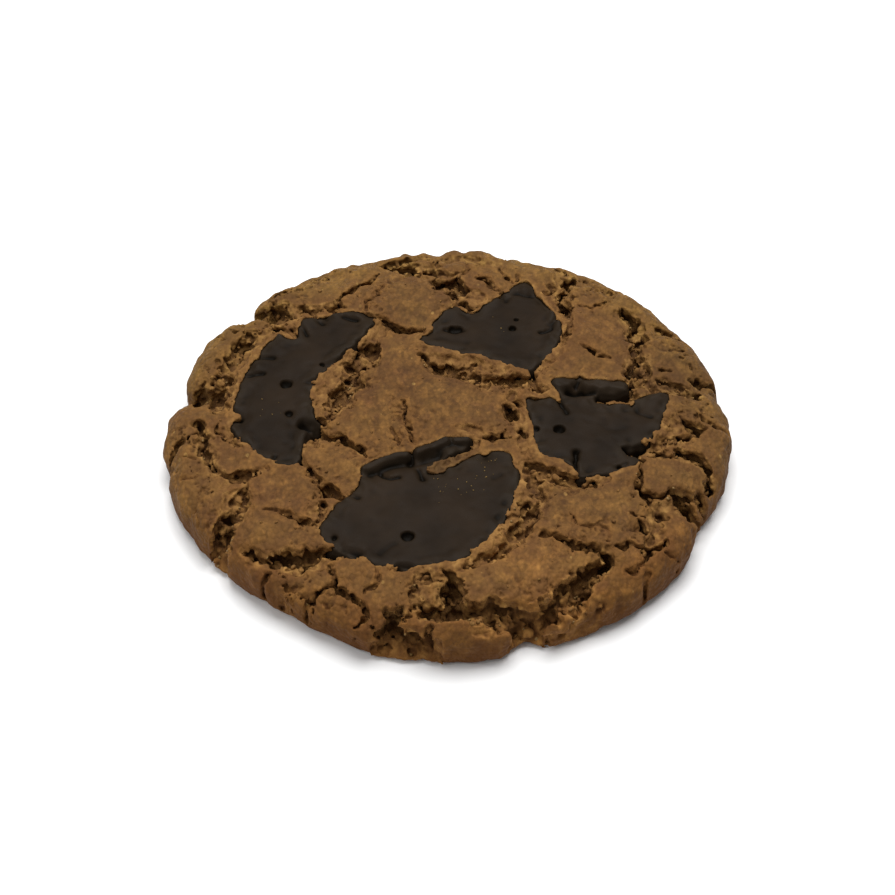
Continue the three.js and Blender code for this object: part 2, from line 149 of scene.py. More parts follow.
# crumbling hollows: (half width, depth, centre line)
HOLLOWS = [
    # between the left chocolate and the middle plate
    (2.1, 2.7, [(-17.4, -0.2), (-16.9, 2.4), (-16.1, 5.2), (-15.5, 8), (-14.7, 10.8), (-13.4, 13.6),
                (-12.2, 16)]),
    (0.8, 2.0, [(-18.6, 1), (-18, 3.2)]),
    # along the left rim
    (1.5, 1.8, [(-32.6, 20.6), (-33.6, 18.4), (-35, 14), (-36.2, 9.5), (-36.8, 6), (-36.6, 0.8)]),
    (0.6, 1.8, [(-39.8, 8.6), (-40, 5.6), (-39.6, 3)]),
    (2.0, 2.5, [(-42, 6.2), (-38.6, 5), (-35.4, 4.6)]),
    (1.2, 1.5, [(-35.6, -13.8), (-32.8, -14.5), (-29.8, -13.9), (-27.4, -12.6)]),
    # behind the left chocolate
    (2.4, 2.7, [(-32, 27.2), (-29.8, 25.6), (-27.2, 23.8)]),
    (0.9, 2.2, [(-25.2, 26.4), (-23.2, 25.2), (-21.6, 25.6)]),
    (1.0, 1.8, [(-20.8, 26.6), (-18.6, 26.6), (-18.3, 27.8)]),
    (1.0, 2.2, [(-30, 21), (-28.2, 21.4), (-26.6, 20.6), (-25.4, 18.4)]),
    # front left
    (1.2, 1.8, [(-30.6, -16.2), (-30.6, -18.6), (-31.6, -20.6)]),
    (1.7, 2.7, [(-32, -21.4), (-32.8, -24), (-33.8, -26.4), (-33, -28)]),
    (0.75, 2.2, [(-30.6, -28.5), (-29.2, -29.1), (-27.6, -29.8)]),
    (1.3, 3.0, [(-27.4, -30), (-25, -30.4), (-22.5, -30.2), (-20.4, -30.4), (-17.6, -29.9)]),
    # front
    (0.7, 2.2, [(-8.6, -40.2), (-7.2, -40.7), (-6, -40.3)]),
    (1.6, 4.2, [(-11, -43.4), (-8, -43.1), (-5.4, -43.4), (-3.2, -44.3), (-1.2, -44.8)]),
    (0.8, 1.0, [(-4.4, -34.4), (-3.2, -35.1), (-1.6, -35)]),
    (1.8, 4.2, [(0.3, -35), (0.9, -37.4), (1.4, -39.2), (0.4, -41.4)]),
    (1.6, 3.2, [(-3.4, -40.8), (0.4, -41.1), (3.4, -40.7), (6, -40.6), (9, -41), (12, -40.9),
                (14.6, -39.7), (17, -37.9), (19.2, -35.6), (21.2, -33), (23, -30.8)]),
    (1.5, 2.6, [(11.2, -41.6), (11.7, -43), (12.1, -44.6)]),
    (1.0, 3.6, [(22.7, -29.4), (23.5, -30), (23.6, -31)]),
    # between the front chocolate, the right one and the plates beside them
    (1.5, 1.9, [(12.2, -11.4), (12.9, -14), (13, -19), (12.3, -23), (10.6, -26.2), (8.4, -29), (6, -31.2),
                (3, -33)]),
    (1.3, 1.7, [(13.4, -13), (16.5, -14.8), (19.4, -15.9), (22.6, -15.9)]),
    (0.9, 3.0, [(9.2, 1.2), (10.2, -0.4), (11, -1.4)]),
    (0.8, 1.8, [(11, 2.6), (11.8, 1.2)]),
    (1.0, 2.4, [(11.4, -3.6), (12.2, -5)]),
    (0.6, 1.2, [(5.4, -7), (3.2, -8.3), (1, -9.6), (-0.8, -10.6)]),
    # right
    (0.8, 3.4, [(29.2, -16.4), (29.9, -18.4), (30.5, -20)]),
    (1.3, 2.8, [(34, -18.2), (35.4, -19.2), (37, -20.2), (39.4, -21.2)]),
    (0.9, 1.8, [(38, -17.8), (39.6, -18.8), (41, -19.4)]),
    (0.9, 1.8, [(31, -21.4), (32.6, -21.8)]),
    (0.9, 2.2, [(31.2, -9.3), (33.2, -8.9), (34.6, -9.6), (36.2, -8.9), (38.4, -9.9), (40, -11.2),
                (40.1, -13.4)]),
    (1.5, 1.2, [(31.6, -8), (34, -6.4), (36.4, -7)]),
    (1.3, 1.5, [(30, 7.4), (32.4, 6.4), (34, 5.4)]),
    (1.2, 1.8, [(34.4, 7.2), (36.4, 6.6), (38.6, 5.2), (40.8, 4.2)]),
    (0.9, 1.8, [(39.4, 8.2), (41.4, 8.5), (43.6, 8.7)]),
    (1.4, 3.0, [(29.8, 25), (30.6, 22.8), (31.4, 20.4), (31.4, 17.8), (30.9, 15)]),
    (1.1, 3.0, [(31.2, 17.4), (30.8, 14.8), (30.8, 12.2), (30.5, 9.6), (29.7, 7), (29.1, 4.6)]),
    (0.8, 1.4, [(31.8, 12.2), (32.6, 10.6), (31.8, 8.6)]),
    (0.9, 1.4, [(34.8, 21.8), (36.5, 20.5), (37.9, 19.7), (39.8, 17.8)]),
    # round the back chocolate
    (1.5, 2.2, [(22, 35), (21.2, 33), (20.4, 31)]),
    (0.7, 1.4, [(17.6, 33), (17.6, 30.6), (16.4, 30.2)]),
    (1.0, 2.6, [(20, 30.4), (19, 28.2), (19.8, 25.6), (20.6, 23.8)]),
    (0.8, 1.4, [(20.4, 22.8), (20.5, 20), (19.8, 17.2), (18.2, 14)]),
    (1.8, 2.4, [(-3, 11.6), (-1.2, 10.4), (0.8, 10), (2.8, 9.1), (4.4, 7.7), (5.6, 6.2)]),
    (0.9, 1.1, [(4.8, 8.4), (6, 6.6), (6.6, 5)]),
    (0.9, 1.8, [(13.6, 7.4), (14.6, 5.8), (16.2, 5)]),
    (1.5, 2.0, [(6.4, 8), (8.2, 7.4), (10.4, 7.5), (12.4, 7.2), (14, 6.6)]),
    # back: a broken wall of crumb along the far rim, and the deep hollow in front of it
    (1.0, 2.2, [(-11.2, 38.8), (-9.2, 38.2), (-7.6, 37.8), (-6.1, 36.8), (-4.6, 35.9)]),
    (1.2, 2.2, [(-4.4, 36), (-3, 35.9), (-1.7, 36.1)]),
    (0.7, 1.5, [(-8.2, 36.3), (-6.5, 35.3), (-4.7, 34.6), (-3.4, 33.8)]),
    (0.6, 1.2, [(-10.1, 39.7), (-7.5, 40.4), (-4.8, 40.4), (-2.6, 39.3), (-1.3, 37.5)]),
    (1.9, 2.8, [(-1.2, 31), (0.2, 32.4), (1.8, 31.4), (1.8, 29.2)]),
]

# strips of bare crumb, this much lower than the crust beside them: (half width, centre line)
CRUMBLY_DEPTH = 0.5
CRUMBLY = [
    # left
    (1.9, [(-26.4, 21.7), (-29.1, 20.3), (-32.4, 17), (-34, 12.7), (-35.2, 7), (-36.2, 2.5)]),
    (1.2, [(-39.7, 7.5), (-39.8, 5.5), (-39.4, 2.5)]),
    (1.7, [(-32.4, 26.4), (-29.8, 27), (-26.8, 25.4), (-24.8, 23.4)]),
    (1.0, [(-24.5, 25.8), (-21, 26), (-18.2, 27.1)]),
    (2.3, [(-11.4, 20.2), (-13.6, 15.8), (-16.6, 11.7), (-18.6, 7), (-19.4, 3), (-19.2, 0.5)]),
    (1.2, [(-22, -5.7), (-19.9, -7.6)]),
    (1.4, [(-39.4, -2.5), (-37.7, -6.6), (-35.7, -12.7), (-33.6, -15.9)]),
    (0.9, [(-35, -3.9), (-32.4, -6.9)]),
    (1.7, [(-30.8, -16), (-31.2, -18.4), (-31.8, -21.4), (-33.3, -25.4), (-34.2, -27.6)]),
    (1.2, [(-20.7, -21.3), (-18.9, -22.5), (-18.8, -24.9)]),
    # back
    (1.6, [(-11.3, 38.5), (-8.4, 38.7), (-4.7, 37.2), (-1.8, 36), (0.4, 35)]),
    (2.0, [(-1.3, 33), (0.9, 31.6), (2.7, 29.2), (5.9, 27.5)]),
    (1.2, [(-1.3, 40.2), (2.4, 40.2), (6, 38.9), (8.6, 38.1)]),
    (1.6, [(-4.2, 15), (-1.2, 12.8), (2.2, 11.8), (6.3, 9.8), (10, 8), (13.1, 8)]),
    (0.8, [(-2.8, -13), (-0.6, -11.9), (2.4, -10.3)]),
    (1.1, [(19.3, 35.5), (18.9, 30), (19.6, 26), (20.2, 22), (18.8, 16), (16.6, 12), (14.6, 10)]),
    (1.5, [(19.2, 37.3), (21.3, 34.3), (20.2, 30)]),
    # right
    (1.4, [(29.6, 23.4), (31.2, 19.1), (30.6, 13), (29.6, 8.4)]),
    (1.7, [(31, 6.3), (34.7, 6.5), (37.7, 5.6), (40, 4.6)]),
    (1.2, [(35.6, -1.4), (38.2, -2.7), (39, -4.4)]),
    (1.6, [(31.6, -7), (34.1, -5), (36.4, -2)]),
    (1.0, [(31.6, -9.6), (34, -9.4), (38.5, -10.6), (40.2, -12.6), (39.6, -15.4)]),
    (1.6, [(30.5, -22), (32.8, -19.4), (35.4, -20), (38, -21)]),
    (1.2, [(30.2, -22.4), (31.2, -25), (29.8, -27.9)]),
    # middle
    (1.5, [(10.4, 4), (10.4, 1.4), (11.4, -1), (12, -4.4), (12, -7.7), (11.6, -10)]),
    (0.9, [(2.4, -4.6), (6.4, -5.4), (9, -5.4)]),
    (0.9, [(3.4, -8.2), (0.6, -10.7), (-1.8, -12.9)]),
    (1.9, [(11.6, -11), (12.2, -14.6), (12.2, -18), (11.2, -22.2), (8.6, -27), (5.4, -30.4), (2, -32.8)]),
    (1.3, [(13, -13.6), (17.1, -15.4), (20.7, -15.8), (24, -15)]),
    # front
    (1.0, [(-0.9, -35.2), (-0.4, -39.8)]),
    (1.4, [(-4.6, -34.6), (-2.2, -35.4)]),
    (0.9, [(-4.9, -36), (-4.4, -39.6)]),
    (1.8, [(16, -38.6), (18.4, -36.6), (20.6, -34), (23, -31.6)]),
    (2.0, [(-2, -40.4), (2, -41), (7, -41), (11.4, -41.8), (14, -40.4)]),
    (0.9, [(14.4, -42.6), (15.2, -41.8), (19.1, -39.6), (23.1, -37)]),
    (1.6, [(-9.6, -43.6), (-6, -43.8), (-2.4, -44)]),
    (1.4, [(-29.6, -29.2), (-26, -30.8), (-20.7, -31.3), (-15, -30.4)]),
]

# black gaps where the dough stands away from the chocolate: (half width, depth, centre line)
NOTCHES = [
    (0.6, 2.6, [(-17.4, 16), (-16.2, 15.8), (-14.8, 15.3)]),
    (0.9, 3.2, [(-21.8, -4.2), (-20.6, -3.4), (-19.2, -2.2)]),
    (0.85, 2.2, [(-23.4, -3.8), (-21.6, -4.6), (-19.6, -5.6)]),
    (0.6, 2.2, [(-18.8, -16.4), (-17, -18.2), (-15.4, -18.6)]),
    (0.8, 2.8, [(-17.8, -30.4), (-15.6, -29.9), (-13.3, -30.3)]),
    (0.6, 1.6, [(-7.8, -33.1), (-6.2, -33.1), (-5.4, -33.4)]),
    (0.9, 3.2, [(26.8, -8.6), (28.9, -8.8), (31, -7.1)]),
    (0.65, 3.0, [(26.8, -9.2), (28.4, -9.9), (30, -10.6)]),
    (0.6, 2.4, [(1.8, 27.6), (3.8, 26.3), (5.5, 26)]),
    (0.8, 3.0, [(-4.3, 13.4), (-3.4, 13.1), (-3.8, 11.9)]),
    (0.85, 3.0, [(10, -5.2), (8.4, -5.3), (7, -5.5), (5.4, -6.1)]),
    (0.5, 1.6, [(-4.1, -13.2), (-3.5, -14.2)]),
    (0.6, 1.8, [(19.2, -15.3), (21, -15.2)]),
    (1.7, 2.8, [(24.2, 3.4), (26.6, 3.5), (29.6, 3.5)]),
]

# cracks: (half width, depth, centre line)
CRACKS = [
    # left
    (0.85, 2.4, [(-39, -1.8), (-38.4, -4.6), (-37.6, -7.6), (-36.6, -10.6), (-35.6, -13)]),
    (0.5, 1.6, [(-41.2, -5.6), (-42.4, -6.6), (-43.2, -8.6), (-43.8, -10.4)]),
    (0.3, 1.2, [(-36.2, -2.6), (-35.2, -4.6), (-34.2, -6.2), (-32, -8)]),
    (0.25, 0.8, [(-41.5, -13.4), (-38.5, -13.8)]),
    (0.25, 0.8, [(-40.5, -9), (-38.8, -10)]),
    # between the left chocolate and the front one
    (0.85, 2.6, [(-21.2, -3.4), (-19.7, -4.8), (-17.8, -6), (-15.9, -6.5), (-14.3, -7.9), (-12.9, -10.2)]),
    (0.4, 1.6, [(-20.8, -5.4), (-20.2, -8)]),
    (0.6, 2.4, [(-23.4, -9.6), (-22.4, -11.8), (-21, -14.1), (-19.5, -15.9)]),
    (0.9, 2.2, [(-19.6, -16), (-18, -17.2), (-16.6, -18.6), (-15.3, -18.8)]),
    (0.5, 1.6, [(-18.6, -19.4), (-18.8, -22), (-19.6, -24.6)]),
    # front left
    (0.45, 1.8, [(-27.6, -21.2), (-25, -22.2), (-22.9, -22.8), (-21.4, -23.6), (-20.2, -24.7), (-19, -25)]),
    (0.6, 1.8, [(-26, -32.6), (-26.9, -34.3), (-27.2, -35.2), (-26.4, -36.8), (-25.4, -38.4)]),
    (0.45, 1.8, [(-17.2, -32.2), (-16.5, -34.4), (-16.9, -35.6)]),
    (0.45, 1.6, [(-16.9, -35.6), (-18.3, -36.1), (-19.2, -37), (-20.2, -38.3), (-21.6, -38.8)]),
    (0.5, 1.9, [(-16.9, -35.6), (-15.4, -36.6), (-14.6, -37.7), (-13.5, -38), (-12, -39.2), (-11, -40.6)]),
    (0.4, 1.4, [(-11, -40.4), (-12.2, -41.7), (-13.6, -41.8)]),
    (0.3, 1.0, [(-10, -33.2), (-10.2, -35.3), (-12, -37.4)]),
    # front
    (0.3, 1.2, [(-4.9, -34.1), (-4.7, -36.3), (-5.3, -38.3), (-4.8, -40.5)]),
    (0.35, 1.4, [(-0.8, -34), (-0.2, -35.2), (0, -36.6)]),
    (0.5, 1.6, [(-4.4, -39.4), (-3, -40), (-1.5, -40.4)]),
    (0.5, 3.0, [(10.2, -40), (8.8, -40.1)]),
    (0.5, 3.0, [(6.7, -41.8), (6.7, -40.4)]),
    (0.5, 3.2, [(21, -34.8), (20.2, -36.4), (18.8, -38.2), (17, -39.8)]),
    # front right
    (0.55, 2.2, [(14.3, -27), (16.6, -27.9), (18.9, -28.7), (20.9, -28.9), (22.4, -29.1)]),
    (0.4, 1.8, [(24, -29.1), (26, -28.9), (27.4, -28)]),
    (0.5, 2.0, [(28.5, -31.2), (29.3, -29.5), (30.8, -28.4), (31.6, -27.8), (32.6, -26.6)]),
    (0.35, 1.4, [(27.4, -28), (29.1, -28.6), (31.4, -28)]),
    (0.3, 1.4, [(18.8, -23.3), (19.3, -25.2)]),
    (0.22, 0.8, [(19.3, -25.2), (23, -25.4), (23.6, -27.6)]),
    (0.5, 2.2, [(28.6, -23.4), (29.6, -25.6)]),
    (0.3, 1.2, [(31.8, -24.2), (31, -25.6), (29, -28.6)]),
    (0.3, 1.0, [(32.4, -28.8), (34.2, -28)]),
    (0.4, 1.2, [(25.6, -32.4), (27, -32.1), (28.2, -31.5)]),
    (0.35, 1.2, [(30, -32), (28.9, -33.7), (29.9, -35.2)]),
    (0.5, 1.8, [(31.4, -20.8), (32, -22), (33.2, -21.8)]),
    # round the block at the right
    (0.55, 2.4, [(29.6, -17.6), (31.2, -18.3), (33, -18), (34.8, -17.4), (36.8, -17.4), (38.6, -16.8)]),
    (0.45, 2.2, [(30.4, -10.6), (29.5, -13.2), (29.4, -15.6), (29.8, -17.6)]),
    (0.5, 2.2, [(38.4, -10.6), (39.9, -11.6), (40.3, -13.6), (39.2, -15.8)]),
    # right
    (0.8, 2.6, [(36.8, -1.7), (38.4, -2.4), (39.3, -2.9), (39, -4.2), (37.2, -5.4), (35.4, -5.2)]),
    (0.4, 1.4, [(39.2, -3.5), (40.8, -3.3)]),
    (0.4, 1.4, [(40.4, -0.1), (41.3, -1.5), (42.1, -2.1), (44, -2.6)]),
    (0.5, 1.6, [(35.6, 6.2), (37.4, 5.5), (38.8, 4.2)]),
    (0.4, 1.4, [(34.6, 9.9), (37, 10.4)]),
    (0.6, 2.6, [(31, 18), (30.8, 15.4), (30.4, 12.6), (30.5, 10), (29.9, 7), (29.4, 4.6)]),
    (0.4, 1.3, [(32, 20.5), (33.2, 18)]),
    (0.38, 1.6, [(22.2, 16), (23.6, 14.8), (25.2, 13), (26.6, 13)]),
    (0.3, 1.0, [(22, 26.8), (24.4, 26), (26.6, 27.2)]),
    # back
    (0.4, 1.6, [(5, 34.6), (6.6, 34), (7.4, 31.6), (8.6, 30.2), (9.6, 29.2)]),
    (0.4, 1.6, [(-18.8, 26.6), (-17.7, 28.7), (-16.8, 29.7), (-15.4, 31.4), (-13.7, 32.2), (-13, 33.6),
                (-12, 35.4)]),
    (0.35, 1.4, [(-13.5, 24.8), (-13.6, 27.4), (-12.1, 28.5), (-11.7, 29.9), (-10.8, 32)]),
    (0.7, 2.4, [(-11.5, 23.2), (-10, 21.6), (-8.1, 19.9), (-6.7, 19.8), (-5.2, 19.3), (-3.7, 19.5)]),
    (0.35, 1.2, [(-2.6, 36.4), (2.6, 35.2), (3.8, 38.2)]),
    (0.3, 1.2, [(8.8, 36.6), (10.4, 34.4), (11.6, 33.2)]),
    (0.4, 1.4, [(12, 36), (12.2, 33.6)]),
    (0.4, 1.4, [(18.6, 38), (20.2, 37.6), (20.8, 36.2)]),
    # middle plate
    (0.32, 2.6, [(-6.8, 1.8), (-6.4, -0.7), (-6.7, -2.2), (-5.9, -3.4), (-5.7, -5.4)]),
    (0.28, 1.4, [(-5.6, -5.6), (-5, -7.4)]),
    (0.2, 0.8, [(-7.7, -5.1), (-7.4, -7.5)]),
    (0.4, 1.8, [(8, 8.8), (8.7, 7.4), (9.6, 5.4)]),
    (0.3, 1.4, [(12.2, 5.8), (14.4, 5.2)]),
    (0.5, 2.4, [(13.7, 10), (13.7, 6.8)]),
    (0.25, 1.0, [(3, -4), (4.6, -4.2), (5.8, -5.6)]),
]

# open pores: (x, y, radius)
PORES = [
    # on the tongue of dough between the front chocolate and its ledge
    (-1.3, -12.6, 0.55), (0.1, -11.4, 0.5), (1.6, -10.2, 0.55), (3, -9.5, 0.5), (-0.6, -11.7, 0.4),
    (2.3, -9.6, 0.4),
    # all over
    (-12, 15, 0.9), (-16.5, 9.5, 0.8), (-16, 13.4, 0.6), (-17.4, 4, 1.0), (-33.2, 18.1, 1.3),
    (-35.5, 16.4, 0.6), (-34.9, 13.3, 1.3), (-31.4, 12.2, 0.6), (-28.4, 21.4, 0.6), (-36.6, 6.3, 1.0),
    (-40, 7.2, 0.7), (-38, 4.8, 0.6), (-35, 1.4, 0.8), (-30.5, -18, 0.7), (-32.5, -23.3, 1.2),
    (-20.2, -38.4, 0.5),
    (-9, -42.6, 1.2), (-5, -43, 0.8), (23.3, -30.2, 1.3), (29.2, -24.8, 0.7), (32.4, -9.8, 0.8),
    (35, -10.3, 0.6), (38.8, -10.8, 0.6), (18.8, 28.2, 1.1), (33.3, 18, 0.6), (31.4, 20.2, 0.8),
    (-3, 36, 0.9), (-1.7, 31, 0.8), (0.8, 30.6, 0.9), (3.5, 26, 0.6), (-9.2, 38.4, 0.6),
    (-7.6, 38.2, 0.5), (12.5, -21.4, 0.7), (11.2, -24.4, 0.6), (8.6, -28.8, 0.6), (6, -30.6, 0.6),
    (10.6, -28.4, 0.6), (14.3, -27, 0.9), (19.2, -15.4, 0.9), (22.2, -15.6, 0.6), (24.5, -14.8, 0.5),
    (10.5, -0.6, 1.0), (9.2, 1, 0.6), (12, -4.2, 0.8), (7.2, -5.8, 0.8), (4.2, -7.4, 0.7),
    (32.6, 6.2, 0.6), (37, 6.5, 0.6), (-14.5, -30, 0.9), (26.5, 3.6, 1.2), (9.8, -40.2, 0.9),
    (1.3, -38, 1.2), (6.4, -40.8, 0.7), (20, -35.8, 0.8), (-4.1, 13.2, 0.8), (21, 34.4, 0.9),
    (30.2, -18.8, 0.7), (36.2, -18.2, 0.7), (-25.4, -31, 0.8), (12.2, 33.8, 0.5), (29.6, 22.8, 0.6),
]

# caves that run back under the plates: (x, y, z, radius)
CAVES = [
    (-9.8, -41.0, 4.1, 1.6), (-7.6, -40.4, 3.9, 2.1), (-5.2, -40.8, 3.7, 1.9), (-3, -42.0, 3.4, 1.4),
    (-33.2, -24.0, 5.2, 1.0),
    (-33.2, 18.1, 6.9, 1.2), (-34.9, 13.4, 6.8, 1.2), (-40.1, 7.2, 5.6, 0.8),
]

# the chocolate, by node: its outline, bubbles (x, y, radius), creases (half width, depth, centre line),
# raised bars (half width, lift, centre line) and swellings (x, y, lift, radius)
CHOCOLATE = {
    "chunk_left": dict(
        outline=[
            (-11.9, 22.5), (-13, 24.1), (-16, 24.9), (-20, 24.2), (-24, 23.2), (-24.9, 20.4),
            (-24.9, 18.3), (-26.6, 17.9), (-28, 19), (-30.1, 16), (-30.8, 14), (-32.5, 10.4),
            (-33.6, 4), (-33.9, 0), (-33.1, -1.2), (-34, -3.6), (-31.2, -7.4), (-29, -9.8),
            (-26.8, -11.4), (-24.1, -12.7), (-22.8, -11), (-22.1, -6.6), (-21.4, -3.8),
            (-19.8, -2.3), (-21, -0.8), (-21.5, 3), (-21, 8), (-19.3, 10.1), (-17.2, 13.5),
            (-15, 16), (-13.2, 19.4),
        ],
        bubbles=[
            (-25.9, 6.8, 0.95), (-25, -0.2, 0.6), (-21.6, -2.9, 1.0), (-20.4, -2.8, 0.9),
            (-20.4, 11.5, 0.4),
        ],
        creases=[
            (0.5, 0.55, [(-31, 13.4), (-28.5, 13.4)]), (0.5, 0.5, [(-32.7, 8.9), (-30.1, 9.4)]),
            (0.5, 0.5, [(-25.2, 22), (-24, 20.6), (-23.4, 19.2)]),
            (0.45, 0.4, [(-21.8, 23.2), (-20.6, 21.8)]), (0.45, 0.5, [(-17.2, 23.4), (-15.2, 22.5)]),
            (0.9, 0.25, [(-25, -0.4), (-24.2, -3.8), (-24.2, -7.8), (-23.2, -10.2)]),
            (0.9, 1.7, [(-22.5, -2.6), (-21, -3), (-19.4, -2.6)]),
            (0.5, 0.5, [(-33.8, -1.2), (-32.6, -1.6)]),
            (0.5, 0.5, [(-27, -11.4), (-26.6, -10.2)]), (0.5, 0.4, [(-21.4, 7.4), (-22.4, 7)]),
        ],
        bars=[],
        swell=[
            (-28.4, 16, 0.45, 1.4), (-31, 11.4, 0.35, 1.1), (-22.6, 22.6, 0.3, 1.2),
            (-19, 23.4, 0.3, 1.1), (-15, 23.6, 0.25, 1.1), (-23, -9, 0.25, 1.6), (-19.9, -2, 0.2, 0.8),
        ],
    ),
    "chunk_back": dict(
        outline=[
            (-4.8, 17.2), (-3, 19.5), (-1.6, 23.2), (0.5, 25.6), (1.5, 26.4), (3.2, 25.1),
            (5, 25.3), (7.7, 28), (10, 30.4), (12, 32.6), (13.5, 33.5), (15, 32.3), (15.3, 30.3),
            (16.5, 28), (17.6, 25), (18.8, 22), (19, 18.2), (17.8, 14.5), (16, 12.7), (14.3, 10.2),
            (13, 9.7), (11, 10.3), (8, 11.6), (5.5, 13.3), (2, 14.1), (-0.7, 15.3), (-3, 16),
        ],
        bubbles=[(1.0, 20.5, 0.8), (1.9, 20.6, 0.7), (10.9, 20.5, 0.6), (11.6, 22.9, 0.4)],
        creases=[
            (0.5, 0.55, [(15.6, 19.4), (16.8, 19.8), (17.6, 21.6), (18.4, 23)]),
            (0.6, 0.4, [(12, 30.2), (13.4, 29.6), (14.8, 29.6)]),
            (0.5, 0.3, [(9.2, 29.2), (10, 28)]), (0.9, 0.2, [(-1, 18), (3, 17)]),
            (0.5, 0.5, [(2.6, 20.2), (1.2, 19.8), (-0.2, 20.4)]),
        ],
        bars=[],
        swell=[
            (13.4, 31.6, 0.45, 1.2), (0.6, 24.4, 0.3, 1.4), (12, 11.6, 0.2, 2.0), (17.2, 17.8, 0.3, 1.1),
            (16.8, 24.6, 0.25, 1.2), (6, 14.6, 0.2, 1.2),
        ],
    ),
    "chunk_right": dict(
        outline=[
            (12.6, 2.6), (14.2, 3.6), (16.4, 3.2), (17.9, 2.9), (18, 4), (17.2, 5), (16.6, 6.4),
            (17.4, 7.6), (20.5, 7.8), (21.5, 8.3), (24, 7.4), (26, 7), (28.4, 7.1), (29, 6.2),
            (28.6, 4.9), (26.6, 4.5), (24.4, 4.3), (23.8, 3.4), (24.4, 2.2), (29.2, 1.6), (30.2, 3.2),
            (33, 4.2), (35.2, 5), (35.6, 3.6), (34.7, 0), (33.4, -3.6), (31.5, -6.2), (29, -7.2),
            (27.2, -8), (28.2, -9.6), (29.9, -10.6), (28.5, -12.3), (25.6, -13.8), (22.6, -14.2),
            (20.2, -14.9), (19.3, -12.6), (17.2, -11.4), (15, -10.8), (13.9, -9), (13.4, -6), (13.1, -2),
        ],
        bubbles=[(17.6, -3.8, 0.9), (14, -3.6, 0.55), (26.5, -12.3, 0.45)],
        creases=[
            (0.5, 1.0, [(20, -9), (19.7, -11), (19.5, -14.2)]),
            (0.45, 0.5, [(18, 2.4), (18.6, 1.2), (19, 0)]),
            (0.7, 1.3, [(19.4, 4.9), (20.6, 4.8), (21.4, 5.2)]), (0.5, 0.6, [(20.6, 6.2), (21, 7.2)]),
            (0.6, 0.9, [(22, 4.6), (23.6, 4.6)]),
            (0.8, 0.14, [(24.6, -1.6), (24.8, -3.2), (26.6, -4), (28.4, -3), (28.4, -1.6)]),
            (0.4, 0.4, [(25.8, -12.4), (27.4, -11.6)]),
            (0.6, 0.3, [(30.3, 1.6), (30.5, 0), (32, -1)]),
        ],
        bars=[
            (1.3, 0.5, [(18, 6.4), (19.2, 6.6)]), (1.4, 0.6, [(22.4, 6.4), (25, 6), (27.6, 5.9)]),
        ],
        swell=[
            (33.4, 2.8, 0.45, 1.8), (22.4, 3, 0.35, 1.4), (28.4, -11, 0.25, 1.2), (15.4, 1.6, 0.25, 1.6),
            (21, -1, 0.12, 1.4), (21.2, -4, 0.14, 1.4), (21.6, -7, 0.12, 1.4),
        ],
    ),
    "chunk_front": dict(
        outline=[
            (-19, -25.5), (-17.7, -22.8), (-16.3, -20.3), (-14.2, -17.9), (-13.3, -15.4),
            (-13, -13.2), (-12, -11.8), (-10.5, -10.8), (-7.5, -9.6), (-5.8, -9.3), (-5, -8.5),
            (-3.5, -7.7), (-0.5, -6.4), (2, -6.1), (3.8, -7), (3, -8.3), (1.4, -9.3),
            (-0.2, -10.4), (-1.5, -11.6), (-2.6, -12.8), (-2.3, -13.5), (-1.2, -13.3),
            (0.4, -12.3), (3, -10.6), (4.6, -9.7), (8, -9.1), (9.6, -9.6), (10.6, -12.5),
            (11, -16), (10, -19.5), (8.9, -22.7), (7.5, -26), (5.5, -28.7), (3.2, -30.8),
            (1, -32.4), (-2, -32.8), (-5, -33.2), (-8, -32.6), (-10, -32.9), (-13, -31.2),
            (-16.5, -29.2), (-18.3, -27.5),
        ],
        bubbles=[(-5.8, -26.7, 0.95), (-16.6, -26.9, 0.45)],
        creases=[
            (0.9, 0.5, [(-12.6, -14.6), (-11, -13.5), (-8.4, -12.2), (-6, -11.6)]),
            (0.4, 0.7, [(-5.4, -9.4), (-5.6, -11)]), (0.9, 0.6, [(-5, -11.6), (-3, -10.7), (-1.4, -9.7)]),
            (0.4, 0.5, [(-10.2, -13.7), (-8.8, -15), (-7.2, -14.7)]),
            (0.5, 0.4, [(-14.8, -18.3), (-13.2, -19.2)]), (0.5, 0.5, [(-4.3, -12.8), (-3.7, -14.8)]),
            (0.5, 0.2, [(-9.6, -30.4), (-8.8, -29), (-7.4, -28.2)]),
            (0.6, 0.8, [(-6.8, -32.6), (-5.4, -32.8)]),
            (0.6, 0.18, [(7.2, -14.6), (8.2, -14)]), (0.6, 0.2, [(7.4, -23), (8.2, -24.6)]),
            (0.8, 0.9, [(-15, -29.8), (-13.4, -30.4)]),
        ],
        bars=[
            (0.9, 0.65, [(-12.3, -13), (-10, -11.5), (-7.4, -10.4), (-6.4, -10.1)]),
            (0.95, 0.75, [(-4.4, -9.5), (-2.4, -8.2), (-0.5, -7.3)]), (0.7, 0.6, [(1.3, -7), (3.2, -7)]),
        ],
        swell=[
            (-8, -15.6, 0.25, 1.4), (-14.5, -20, 0.2, 2.2), (-5.6, -14, 0.25, 1.3),
            (-11.6, -16.4, 0.25, 1.2), (-16.4, -24, 0.2, 1.6),
        ],
    ),
}

FUSED_LUMPS = 280  # lumps of crumb that stick to the floors of the hollows
SMALL_PORES = 200  # in whatever is broken
CRUST_PITS = 150  # most of them near the rim
CRUMBS = 420  # loose ones in what is broken
CRUMBS_ON_TOP = 90  # and anywhere
CRYSTALS = 40  # of sugar, in what is broken
CRYSTALS_AT_SPOTS = 70  # and where sugar lies thick
# radii are drawn from (least, span, power): the greater the power, the more small ones
LUMP_RADII = (0.3, 0.6, 2.0)
PORE_RADII = (0.24, 0.34, 1.0)
PIT_RADII = (0.16, 0.36, 1.6)
CRUMB_RADII = (0.14, 0.28, 2.2)

